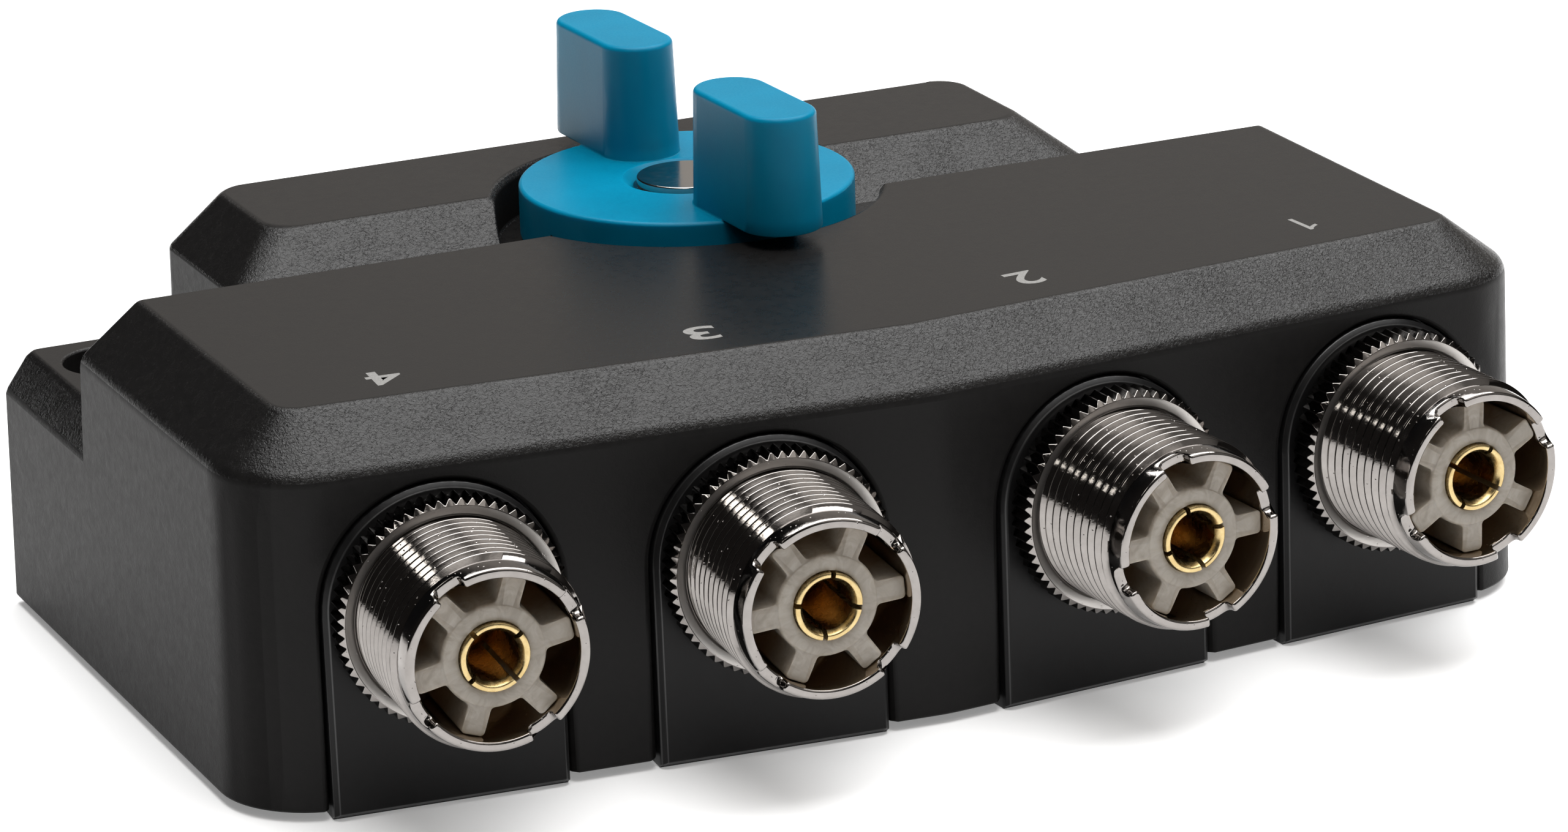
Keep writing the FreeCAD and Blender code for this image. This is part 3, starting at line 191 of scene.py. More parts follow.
def tray_material():
    """The base moulding: smoother than the cover, with a faint mottle."""
    k = Net("tray_black", (0.0065, 0.0064, 0.0065), 0.36, **{"Specular_IOR_Level": 0.12})
    mottle = k.noise(0.9, 4.0, 0.6, 0.5)
    fine = k.noise(5.0, 2.0, 0.6)
    k.drive("Normal", k.bump(fine, 0.008, 0.5, k.bump(mottle, 0.05, 0.25)))
    # the two edges of each panel's chamfer are polished by handling
    split = k.t.nodes.new("ShaderNodeSeparateXYZ")
    k.put(split.inputs[0], k.p)
    lift = k.math("MAXIMUM", k.math("SUBTRACT", split.outputs["Z"], 16.79), 0.0)
    lane = k.math("ABSOLUTE", k.math("SUBTRACT", k.math("ABSOLUTE", split.outputs["X"]), 28.25))
    lane = k.math("SUBTRACT", lane, 13.46)
    rear = k.ramp(split.outputs["Y"], 20.0, 21.0, 0.0, 1.0)
    across = k.math("ADD", k.math("MULTIPLY", lane, k.math("SUBTRACT", 1.0, rear)), k.math("MULTIPLY", split.outputs["X"], rear))
    radius = k.math("SQRT", k.math("ADD", k.math("MULTIPLY", across, across), k.math("MULTIPLY", lift, lift)))
    near = k.math("MINIMUM", k.math("ABSOLUTE", k.math("SUBTRACT", radius, 9.66)), k.math("ABSOLUTE", k.math("SUBTRACT", radius, 9.26)))
    edge = k.ramp(near, 0.03, 0.07, 1.0, 0.0, True)
    k.drive("Specular IOR Level", k.math("ADD", 0.15, k.math("MULTIPLY", edge, 0.40)))
    k.drive("Roughness", k.ramp(mottle, 0.3, 0.7, 0.33, 0.42))
    k.drive("Base Color", k.blend(k.ramp(mottle, 0.3, 0.7, 0.0, 1.0), (0.0056, 0.0055, 0.0057), (0.0074, 0.0072, 0.0074)))
    return k.m


def knob_material():
    """Blue satin moulding with a fine grain."""
    k = Net("knob_blue", (0.0, 0.155, 0.265), 0.34, **{"Specular_IOR_Level": 0.10, "Subsurface_Weight": 0.45, "Subsurface_Scale": 0.0016})
    k.b.inputs["Subsurface Radius"].default_value = (0.25, 0.9, 1.0)
    grain = k.noise(5.5, 3.0, 0.6)
    soft = k.noise(0.25, 2.0, 0.5)
    k.drive("Normal", k.bump(grain, 0.012, 0.5, k.bump(soft, 0.10, 0.15)))
    k.drive("Roughness", k.ramp(grain, 0.3, 0.7, 0.30, 0.40))
    k.drive("Base Color", k.blend(k.ramp(soft, 0.3, 0.7, 0.0, 1.0), (0.0, 0.150, 0.256), (0.0, 0.164, 0.279)))
    return k.m


def nickel_material(name="nickel", turned=True):
    """Bright nickel plate over a turned surface: fine scratches, small pits, slightly uneven gloss."""
    k = Net(name, (0.25, 0.235, 0.223), 0.08, 1.0)
    haze = k.noise(0.9, 3.0, 0.6)
    specks = k.cells(1.7, "F1")
    lathe = k.noise(1.0, 3.0, 0.7, 0.0, k.stretch(0.9, 0.9, 22.0)) if turned else k.noise(8.0, 3.0, 0.6)
    k.drive("Roughness", k.math("ADD", k.ramp(haze, 0.3, 0.7, 0.045, 0.095), k.ramp(specks, 0.0, 0.10, 0.25, 0.0)))
    n = k.bump(lathe, 0.004, 0.30)
    n = k.bump(haze, 0.05, 0.22, n)
    n = k.bump(k.ramp(specks, 0.03, 0.14, 0.0, 1.0, True), 0.02, 0.8, n)
    k.drive("Normal", n)
    plate = k.blend(k.ramp(haze, 0.3, 0.7, 0.0, 1.0), (0.225, 0.210, 0.199), (0.265, 0.249, 0.237))
    if name == "nickel":
        # the bore is left brighter from the drill than the plated outside
        inner = k.t.nodes.new("ShaderNodeSeparateXYZ")
        k.put(inner.inputs[0], k.p)
        bx, by = inner.outputs["X"], inner.outputs["Y"]
        wide = k.math("SQRT", k.math("ADD", k.math("MULTIPLY", bx, bx), k.math("MULTIPLY", by, by)))
        plate = k.blend(k.ramp(wide, 6.56, 6.60, 1.0, 0.0, True), plate, (0.55, 0.46, 0.36))
    if name == "nut_nickel":
        # the knurled barrel behind the front face is coloured darker: painted shade on its teeth and grooves
        split = k.t.nodes.new("ShaderNodeSeparateXYZ")
        k.put(split.inputs[0], k.p)
        x, y = split.outputs["X"], split.outputs["Y"]
        radius = k.math("SQRT", k.math("ADD", k.math("MULTIPLY", x, x), k.math("MULTIPLY", y, y)))
        front = k.math("MAXIMUM", k.ramp(split.outputs["Z"], 2.80, 2.90, 0.0, 1.0, True), k.ramp(radius, 8.84, 8.88, 1.0, 0.0, True))
        # painted shade: below the tooth chamfers the barrel takes the dark colour
        plate = k.blend(front, (0.135, 0.127, 0.120), plate)
        satin = k.ramp(radius, 8.78, 8.86, 1.0, 0.0, True)
        plate = k.blend(satin, plate, (0.46, 0.44, 0.42))
        k.drive("Roughness", k.math("ADD", k.math("MULTIPLY", satin, 0.28), k.ramp(haze, 0.3, 0.7, 0.05, 0.10)))
    k.drive("Base Color", plate)
    return k.m


def gold_material():
    """Gold plated spring contact with light drawing marks along its axis."""
    k = Net("gold", (0.83, 0.58, 0.22), 0.2, 1.0)
    draw = k.noise(1.0, 3.0, 0.6, 0.0, k.stretch(9.0, 9.0, 0.6))
    haze = k.noise(1.6, 3.0, 0.6)
    k.drive("Roughness", k.ramp(haze, 0.3, 0.7, 0.20, 0.33))
    k.drive("Normal", k.bump(draw, 0.006, 0.25))
    split = k.t.nodes.new("ShaderNodeSeparateXYZ")
    k.put(split.inputs[0], k.p)
    x, y, z = (split.outputs[c] for c in "XYZ")
    radius = k.math("SQRT", k.math("ADD", k.math("MULTIPLY", x, x), k.math("MULTIPLY", y, y)))
    # painted shade: deep inside the bore, below the mouth, the gold is coloured a dark brown
    bore_shade = k.math("MULTIPLY", k.ramp(radius, 2.03, 2.14, 1.0, 0.0), k.ramp(z, 12.2, 13.10, 1.0, 0.0))
    plate = k.blend(k.ramp(haze, 0.35, 0.65, 0.0, 1.0), (0.44, 0.325, 0.150), (0.54, 0.425, 0.215))
    k.drive("Base Color", k.blend(bore_shade, plate, (0.36, 0.215, 0.072)))
    return k.m


def insulator_material():
    """Milky moulded plastic that lets light in, with faint flow lines."""
    k = Net("insulator", (0.26, 0.24, 0.21), 0.36, **{"Subsurface_Weight": 0.35, "Subsurface_Scale": 0.0012, "Specular_IOR_Level": 0.35})
    k.b.inputs["Subsurface Radius"].default_value = (1.0, 0.8, 0.55)
    flow = k.noise(0.55, 3.0, 0.55, 2.2)
    grain = k.noise(4.0, 3.0, 0.6)
    milk = k.blend(k.ramp(flow, 0.32, 0.68, 0.0, 1.0), (0.205, 0.180, 0.150), (0.280, 0.256, 0.222))
    # painted light: the pocket floors and lower walls, below 5 mm, are coloured a lighter warm brown than the face,
    # lifting the shaded pockets
    depth = k.ramp(k.height(), 5.0, 11.5, 0.0, 1.0, True)
    k.drive("Base Color", k.blend(depth, (0.42, 0.28, 0.155), milk))
    k.drive("Roughness", k.ramp(grain, 0.3, 0.7, 0.30, 0.46))
    k.drive("Normal", k.bump(grain, 0.015, 0.4, k.bump(flow, 0.06, 0.35)))
    return k.m


def plain_metal(name, a, b, rough, scale=2.0):
    k = Net(name, a, rough, 1.0)
    haze = k.noise(scale, 4.0, 0.6)
    k.drive("Roughness", k.ramp(haze, 0.3, 0.7, rough * 0.75, rough * 1.3))
    k.drive("Base Color", k.blend(k.ramp(haze, 0.3, 0.7, 0.0, 1.0), a, b))
    k.drive("Normal", k.bump(k.noise(scale * 4, 3.0, 0.6), 0.01, 0.4))
    return k.m


def cap_material():
    """Bright plated cap, polished on a lathe so that faint rings remain."""
    k = Net("hub_plate", (0.42, 0.405, 0.385), 0.16, 1.0)
    off = k.t.nodes.new("ShaderNodeVectorMath")
    off.operation = "SUBTRACT"
    k.put(off.inputs[0], k.p)
    off.inputs[1].default_value = (0.0, 14.13, 0.0)
    length = k.t.nodes.new("ShaderNodeVectorMath")
    length.operation = "LENGTH"
    k.put(length.inputs[0], k.stretch(1.0, 1.0, 0.0, off.outputs[0]))
    comb = k.t.nodes.new("ShaderNodeCombineXYZ")
    k.put(comb.inputs[0], length.outputs["Value"])
    rings = k.noise(9.0, 4.0, 0.7, 0.0, comb.outputs[0])
    haze = k.noise(1.5, 3.0, 0.6)
    k.drive("Roughness", k.ramp(haze, 0.3, 0.7, 0.12, 0.20))
    k.drive("Normal", k.bump(rings, 0.003, 0.5))
    return k.m


def board(name, a, b):
    k = Net(name, a, 0.5)
    fibre = k.noise(1.0, 4.0, 0.6, 0.3, k.stretch(3.0, 0.6, 3.0))
    k.drive("Base Color", k.blend(k.ramp(fibre, 0.3, 0.7, 0.0, 1.0), a, b))
    k.drive("Roughness", k.ramp(fibre, 0.3, 0.7, 0.42, 0.6))
    k.drive("Normal", k.bump(fibre, 0.02, 0.4))
    return k.m


def print_material():
    """Light grey printing ink with a slightly worn, uneven surface."""
    k = Net("print_grey", (0.60, 0.59, 0.57), 0.5)
    wear = k.noise(5.0, 3.0, 0.6)
    k.drive("Base Color", k.blend(k.ramp(wear, 0.3, 0.7, 0.0, 1.0), (0.175, 0.172, 0.165), (0.230, 0.226, 0.218)))
    k.drive("Roughness", k.ramp(wear, 0.3, 0.7, 0.42, 0.6))
    k.drive("Normal", k.bump(wear, 0.01, 0.5))
    return k.m


CASE, TRAY, BLUE, NICKEL = case_material(), tray_material(), knob_material(), nickel_material()
NUT = nickel_material("nut_nickel")
GOLD, MILKY, CAP, INK = gold_material(), insulator_material(), cap_material(), print_material()
STEEL = plain_metal("steel", (0.50, 0.50, 0.49), (0.60, 0.60, 0.60), 0.28)
COPPER = plain_metal("copper", (0.70, 0.38, 0.23), (0.80, 0.50, 0.33), 0.30)
SILVER = plain_metal("silver_plate", (0.74, 0.73, 0.69), (0.84, 0.83, 0.80), 0.22)
WAFER = board("wafer", (0.33, 0.18, 0.07), (0.46, 0.28, 0.13))
ROTOR = board("rotor_white", (0.68, 0.66, 0.61), (0.78, 0.76, 0.71))
FINISH = {"case_black": CASE, "tray_black": TRAY, "knob_blue": BLUE, "nickel": NICKEL, "insulator": MILKY, "gold": GOLD,
          "hub_plate": CAP, "steel": STEEL, "copper": COPPER, "silver_plate": SILVER, "wafer": WAFER, "rotor_white": ROTOR}
for sub in frame["record"]["subparts"]:
    o = nodes[sub["node"]]
    for s in o.material_slots:
        s.material = FINISH[sub["material_slot"]]


# ------------------------------------------------------------------ mesh helpers
def port(key, spin=0.0):
    """Local frame of a socket: X right and Y up for a viewer facing it, Z out of the case, in millimetres."""
    if key == "common":
        x, z, o = Vector((-1, 0, 0)), Vector((0, 1, 0)), Vector((0, 71.42 - YS, 16.79))
    else:
        side = 1 if key in (1, 2) else -1
        d = 41.84 if key in (1, 4) else 14.92
        x = Vector((math.cos(VEE), side * math.sin(VEE), 0))
        z = Vector((side * math.sin(VEE), -math.cos(VEE), 0))
        o = Vector((side * d * math.cos(VEE), d * math.sin(VEE) - YS, 16.79))
    y = Vector((0, 0, 1))
    m = Matrix(((x.x, y.x, z.x, o.x), (x.y, y.y, z.y, o.y), (x.z, y.z, z.z, o.z), (0, 0, 0, 1)))
    return m @ Matrix.Rotation(math.radians(spin), 4, "Z")


def mesh_object(name, points, faces, place=None, sharp=32.0, material=None):
    """A mesh object from millimetre points in a local frame; the object keeps its own local axes."""
    me = bpy.data.meshes.new(name)
    me.from_pydata([(x * MM, y * MM, z * MM) for x, y, z in points], [], faces)
    me.validate()
    me.update()
    me.shade_smooth()
    if sharp:
        me.set_sharp_from_angle(angle=math.radians(sharp))
    o = bpy.data.objects.new(name, me)
    scene.collection.objects.link(o)
    if material is not None:
        me.materials.append(material)
    if place is not None:
        m = place.copy()
        m.translation = m.translation * MM
        o.matrix_world = m
    return o


class Shell:
    """Collects points and faces; equal points are shared."""

    def __init__(self):
        self.points, self.faces, self.index = [], [], {}

    def at(self, x, y, z):
        key = (round(x * 20000), round(y * 20000), round(z * 20000))
        if key not in self.index:
            self.index[key] = len(self.points)
            self.points.append((x, y, z))
        return self.index[key]

    def face(self, *ids):
        out = []
        for i in ids:
            if not out or i != out[-1]:
                out.append(i)
        if len(out) > 1 and out[0] == out[-1]:
            out.pop()
        if len(set(out)) == len(out) and len(out) > 2:
            self.faces.append(tuple(out))

    def grid(self, rows, closed_rows=True, closed_columns=False, flip=False):
        """rows: lists of point ids of one length. closed_rows joins the last column to the first."""
        count = len(rows[0])
        last = len(rows) if closed_columns else len(rows) - 1
        for r in range(last):
            a, b = rows[r], rows[(r + 1) % len(rows)]
            for c in range(count if closed_rows else count - 1):
                d = (c + 1) % count
                if flip:
                    self.face(a[c], b[c], b[d], a[d])
                else:
                    self.face(a[c], a[d], b[d], b[c])

    def ring(self, radius, z, angles):
        return [self.at(radius * math.cos(a), radius * math.sin(a), z) for a in angles]


def weighted(o):
    m = o.modifiers.new("weighted_normals", "WEIGHTED_NORMAL")
    m.keep_sharp = True
    m.mode = "FACE_AREA"
    return o


def done(o, body, node):
    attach(o, body)
    if node:
        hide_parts(node)
    return o


# ------------------------------------------------------------------ threaded shell
PITCH = 1.0583
CREST, ROOT = 7.9375, 7.29
THREAD = [(0.0, CREST), (0.052, CREST), (0.085, 7.922), (0.118, 7.880), (0.430, 7.340), (0.472, 7.300), (0.529, ROOT)]
PROFILE = THREAD + [(PITCH - u, r) for u, r in THREAD[-2:0:-1]]
NOTCH_HALF, NOTCH_DEEP, RIM = 1.16, 1.15, 14.30


def rim_path():
    """The top edge of the shell as (angle, height, across, up) all the way round, dipping into four rounded notches.
    across and up are the outward direction of the edge in the unrolled wall."""
    r = 7.0
    path = []
    quarter = TAU / 4
    for q in range(4):
        mid = q * quarter
        lip, foot = 0.22, 0.42
        left = []
        # from the notch's middle out to its right-hand top corner
        for s in (0.0, 0.34, 0.70):
            left.append((s, RIM - NOTCH_DEEP, 0.0, 1.0))
        for k in range(4):
            a = math.radians(90 * k / 3)
            left.append((NOTCH_HALF - foot + foot * math.sin(a), RIM - NOTCH_DEEP + foot - foot * math.cos(a), -math.sin(a), math.cos(a)))
        left.append((NOTCH_HALF, RIM - lip - 0.17, -1.0, 0.0))
        for k in range(4):
            a = math.radians(90 * k / 3)
            left.append((NOTCH_HALF + lip - lip * math.cos(a), RIM - lip + lip * math.sin(a), -math.cos(a), math.sin(a)))
        right = [(-s, h, -nx, ny) for s, h, nx, ny in left[1:]]
        for s, h, nx, ny in list(reversed(right)) + left:
            path.append((mid + s / r, h, nx, ny))
        end = left[-1][0] / r
        steps = 34
        for k in range(1, steps):
            path.append((mid + end + (quarter - 2 * end) * k / steps, RIM, 0.0, 1.0))
    return path


PATH = rim_path()
COLUMNS = len(PATH)


def envelope(z):
    """Outer radius the thread is cut into, falling to the plain band in front of the thread."""
    if z <= 12.25:
        return CREST
    if z <= 12.62:
        return CREST - (CREST - 7.56) * (z - 12.25) / 0.37
    return max(7.28, 7.56 - (z - 12.62) * 0.13)


def thread_radius(u):
    u = u % PITCH
    for (a, ra), (b, rb) in zip(PROFILE, PROFILE[1:] + [(PITCH, CREST)]):
        if a <= u <= b:
            return ra + (rb - ra) * (u - a) / (b - a)
    return CREST


def shell_mesh():
    s = Shell()
    even = [TAU * (c - 8) / COLUMNS for c in range(COLUMNS)]
    first = PATH[0][0]
    base = [first + TAU * c / COLUMNS for c in range(COLUMNS)]
    z0, z1 = 2.2, 12.78
    rows = []
    # back of the shell, flange and neck
    for r, z in ((6.55, -6.5), (6.65, -6.6), (9.05, -6.6), (9.2, -6.45), (9.2, -4.42), (9.08, -4.3), (7.85, -4.3), (7.85, 0.5), (7.85, z0 - 0.3)):
        rows.append(s.ring(r, z, base))
    turns = int((z1 - z0) / PITCH) + 3
    for t in range(-2, turns):
        for u, _ in PROFILE:
            ids = []
            for c, a in enumerate(base):
                z = z0 + PITCH * (t + (a - first) / TAU) + u
                z = min(max(z, z0), z1)
                depth = CREST - thread_radius(z - z0 - PITCH * (a - first) / TAU)
                fade = 1.0 if z < 12.2 else max(0.0, 1 - (z - 12.2) / 0.45)
                grow = min(1.0, (z - z0) / 0.3)
                r = min(envelope(z) - depth * fade * grow, envelope(z))
                ids.append(s.at(r * math.cos(a), r * math.sin(a), z))
            if not rows or ids != rows[-1]:
                rows.append(ids)
    # plain band up to the notches, whose columns gather towards the notch walls
    rows.append(s.ring(envelope(12.9), 12.9, base))
    rows.append([s.at(envelope(13.0) * math.cos(b), envelope(13.0) * math.sin(b), 13.0) for b in [x * 0.7 + p[0] * 0.3 for x, p in zip(base, PATH)]])
    band = envelope(14.1)

    def along(radius, back):
        """The rim path at a radius, pulled back from the edge into the wall."""
        ids = []
        for a, h, nx, ny in PATH:
            b = a - back * nx / 7.0
            z = h - back * ny
            rr = radius if radius < 7.0 else radius + (envelope(z) - band)
            ids.append(s.at(rr * math.cos(b), rr * math.sin(b), z))
        return ids

    chamfer = 0.23
    rows.append(along(band, chamfer))
    rows.append(along(band - 0.035, chamfer * 0.45))
    rows.append(along(band - 0.075, 0.045))
    rows.append(along(band - chamfer, 0.0))
    rows.append(along(6.55 + chamfer, 0.0))
    rows.append(along(6.55 + 0.075, 0.045))
    rows.append(along(6.55 + 0.03, chamfer * 0.45))
    rows.append(along(6.55, chamfer))
    mixed = [x * 0.7 + p[0] * 0.3 for x, p in zip(base, PATH)]
    rows.append([s.at(6.55 * math.cos(b), 6.55 * math.sin(b), 13.0) for b in mixed])
    for z in (12.8, 10.0, 6.0, 2.0, -3.0):
        rows.append(s.ring(6.55, z, base))
    s.grid(rows, closed_rows=True, closed_columns=True)
    return s


# ------------------------------------------------------------------ knurled ring nut
def nut_mesh(low):
    s = Shell()
    teeth, tip, root = 63, 9.36, 8.93
    angles, radii = [], []
    for k in range(teeth):
        for f, r in ((-0.07, tip - 0.02), (0.0, tip), (0.07, tip - 0.02), (0.42, root + 0.04), (0.5, root), (0.58, root + 0.04)):
            angles.append(TAU * (k + f) / teeth)
            radii.append(r)

    def row(fn):
        ids = []
        for a, r in zip(angles, radii):
            rr, z = fn(r)
            ids.append(s.at(rr * math.cos(a), rr * math.sin(a), z))
        return ids

    front, zs = 3.2, low + 0.30
    top = lambda r: front - 0.30 * max(0.0, r - 8.86) / 0.50
    bot = lambda r: zs + 0.30 * max(0.0, r - 8.86) / 0.50
    rows = [row(lambda r: (7.95, low)), row(lambda r: (8.5, low)), row(lambda r: (8.6, low + 0.06)), row(lambda r: (8.65, zs - 0.05)), row(lambda r: (8.7, zs)), row(lambda r: (8.86, zs)),
            row(lambda r: (r - 0.03, bot(r - 0.03))), row(lambda r: (r, bot(r) + 0.03)), row(lambda r: (r, 2.0)), row(lambda r: (r, top(r) - 0.03)), row(lambda r: (r - 0.03, top(r - 0.03) - 0.002)),
            row(lambda r: (8.87, front)), row(lambda r: (8.82, front - 0.005)), row(lambda r: (8.76, front - 0.02)), row(lambda r: (8.20, front - 0.06)), row(lambda r: (8.12, front - 0.10)),
            row(lambda r: (7.97, front - 0.28)), row(lambda r: (7.95, front - 0.34))]
    s.grid(rows, closed_rows=True, closed_columns=True)
    return s


# ------------------------------------------------------------------ spoked insulator
def star_outline():
    """Outline of the hub and its six spokes as (angle, radius), with filleted roots and rounded ends."""
    hub, half, tip, fil, nose = 4.2, 0.95, 6.46, 0.42, 0.34
    one = []
    # fillet between hub circle and spoke side, drawn for y > 0 of a spoke along +X
    d = hub + fil
    cy = half + fil
    cx = math.sqrt(d * d - cy * cy)
    a_hub = math.atan2(cy, cx)
    for f in (0.0, 0.25, 0.5, 0.75, 1.0):
        one.append((math.pi / 6 + (a_hub - math.pi / 6) * f, hub))
    a0 = math.atan2(-cy, -cx)
    a1 = -math.pi / 2
    for k in range(1, 5):
        a = a0 + (a1 - a0) * k / 4
        x, y = cx + fil * math.cos(a), cy + fil * math.sin(a)
        one.append((math.atan2(y, x), math.hypot(x, y)))
    for f in (0.35, 0.7):
        x = cx + (tip - nose - cx) * f
        one.append((math.atan2(half, x), math.hypot(half, x)))
    for k in range(0, 5):
        a = math.radians(90 - 90 * k / 4)
        x, y = tip - nose + nose * math.cos(a), half - nose + nose * math.sin(a)
        one.append((math.atan2(y, x), math.hypot(x, y)))
    one.append((0.0, tip))
    out = []
    for k in range(6):
        mid = TAU * k / 6
        out += [(mid - a, r) for a, r in one[1:-1]][::1]
        out += [(mid, tip)]
        out += [(mid + a, r) for a, r in reversed(one[:-1])]
    return out


def insulator_mesh():
    s = Shell()
    outline = star_outline()
    floor = 4.2

    def row(fn):
        return [s.at(*(lambda rz: (rz[0] * math.cos(a), rz[0] * math.sin(a), rz[1]))(fn(a, r))) for a, r in outline]

    on_spoke = lambda r: min(1.0, max(0.0, (r - 4.2) / 0.25))
    rows = [row(lambda a, r: (2.80, 4.0)), row(lambda a, r: (2.80, 13.10)), row(lambda a, r: (2.90, 13.20)),
            row(lambda a, r: (3.5, 13.20)), row(lambda a, r: (3.98, 13.20)), row(lambda a, r: (4.06, 13.17)),
            row(lambda a, r: (4.12, 13.11)), row(lambda a, r: (4.15 + on_spoke(r) * max(0.0, r - 0.16 - 4.15), 13.07)),
            row(lambda a, r: (r - 0.045, 13.04 - 0.01 * on_spoke(r))), row(lambda a, r: (r - 0.012, 12.99)), row(lambda a, r: (r, 12.90)),
            row(lambda a, r: (r, 9.0)), row(lambda a, r: (r, floor + 0.35)), row(lambda a, r: (min(r + 0.10, 6.5), floor + 0.1)), row(lambda a, r: (min(r + 0.35, 6.52), floor)),
            row(lambda a, r: (6.52, floor)), row(lambda a, r: (6.52, -6.5)), row(lambda a, r: (4.6, -6.5)), row(lambda a, r: (4.6, -7.9)), row(lambda a, r: (4.5, -8.0)),
            row(lambda a, r: (2.0, -8.0)), row(lambda a, r: (2.0, 3.0)), row(lambda a, r: (2.80, 3.0))]
    s.grid(rows, closed_rows=True, closed_columns=True)
    return s


# ------------------------------------------------------------------ slotted contact
def contact_mesh(tail):
    s = Shell()
    # four petals, each a closed piece
    outer = [(2.775, 6.0), (2.775, 10.0), (2.775, 13.45), (2.745, 13.53), (2.66, 13.585), (2.44, 13.585), (2.37, 13.56), (2.31, 13.49), (2.07, 13.10), (2.04, 13.0), (2.04, 10.0), (2.04, 6.0)]
    steps = 14
    for q in range(4):
        t = Shell()
        rows = []
        for k in range(steps + 1):
            col = []
            for r, z in outer:
                gap = math.asin(0.17 / r)
                if k in (0, steps):
                    gap += 0.012
                a = q * TAU / 4 + gap + (TAU / 4 - 2 * gap) * k / steps
                col.append((r * math.cos(a), r * math.sin(a), z))
            rows.append(col)
        start = len(s.points)
        flat = [p for col in rows for p in col]
        s.points += flat
        n = len(outer)
        for k in range(steps):
            for j in range(n):
                i = (j + 1) % n
                s.faces.append((start + k * n + j, start + (k + 1) * n + j, start + (k + 1) * n + i, start + k * n + i))
        s.faces.append(tuple(start + j for j in range(n)))
        s.faces.append(tuple(start + steps * n + j for j in reversed(range(n))))
    # the pin behind the petals
    body = Shell()
    angles = [TAU * k / 48 for k in range(48)]
    back = -8.9 if tail else -8.6
    profile = [(2.04, 6.0), (2.775, 6.0), (2.775, 3.0), (2.0, 3.0), (2.0, back + 0.1), (1.9, back)]
    rows = [body.ring(r, z, angles) for r, z in profile]
    bottom = body.ring(1.9, 4.95, angles)
    body.grid([bottom] + [body.ring(2.04, 5.2, angles)] + rows, flip=True)
    tip = body.at(0, 0, 4.2)
    end = body.at(0, 0, back)
    n = len(angles)
    for c in range(n):
        body.face(tip, bottom[c], bottom[(c + 1) % n])
        body.face(end, rows[-1][(c + 1) % n], rows[-1][c])
    start = len(s.points)
    s.points += body.points
    s.faces += [tuple(start + i for i in f) for f in body.faces]
    return s


SHELL_SPIN = {1: 23.5, 2: 16.6, 3: 45.0, 4: 30.0, "common": 45.0}
SPOKE_SPIN = {1: 29.5, 2: 1.1, 3: 5.0, 4: 12.0, "common": 30.0}
SLOT_SPIN = {1: 58.0, 2: 15.7, 3: 81.0, 4: 39.0, "common": 20.0}
shell_data, insulator_data = shell_mesh(), insulator_mesh()
nut_data = {False: nut_mesh(0.26), True: nut_mesh(0.40)}
for n, key in enumerate((1, 2, 3, 4, "common")):
    tag = "antenna_%s_" + str(key) if key != "common" else "common_%s"
    rear = key == "common"
    o = mesh_object(tag % "shell" + "_turned", shell_data.points, shell_data.faces, port(key, SHELL_SPIN[key]), 40.0, NICKEL)
    done(weighted(o), "housing", tag % "shell")
    o = mesh_object(tag % "ring_nut" + "_knurled", nut_data[rear].points, nut_data[rear].faces, port(key, 1.3 * n), 25.0, NUT)
    done(weighted(o), "housing", tag % "ring_nut")
    o = mesh_object(tag % "insulator" + "_moulded", insulator_data.points, insulator_data.faces, port(key, SPOKE_SPIN[key]), 50.0, MILKY)
    done(weighted(o), "housing", tag % "insulator")
    c = contact_mesh(not rear)
    spin = SLOT_SPIN[key]
    if not rear:
        # the flat tail stays level whatever way the slots point
        turn = math.radians(-spin)
        box = [(x, y, z) for z in (-12.4, -8.5) for y in (-0.43, 0.11) for x in (-1.5, 1.5)]
        base = len(c.points)
        c.points += [(x * math.cos(turn) - y * math.sin(turn), x * math.sin(turn) + y * math.cos(turn), z) for x, y, z in box]
        c.faces += [tuple(base + i for i in f) for f in ((0, 2, 3, 1), (4, 5, 7, 6), (0, 1, 5, 4), (2, 6, 7, 3), (0, 4, 6, 2), (1, 3, 7, 5))]
    o = mesh_object(tag % "contact" + "_slotted", c.points, c.faces, port(key, spin), 35.0, GOLD)
    done(weighted(o), "housing", tag % "contact")


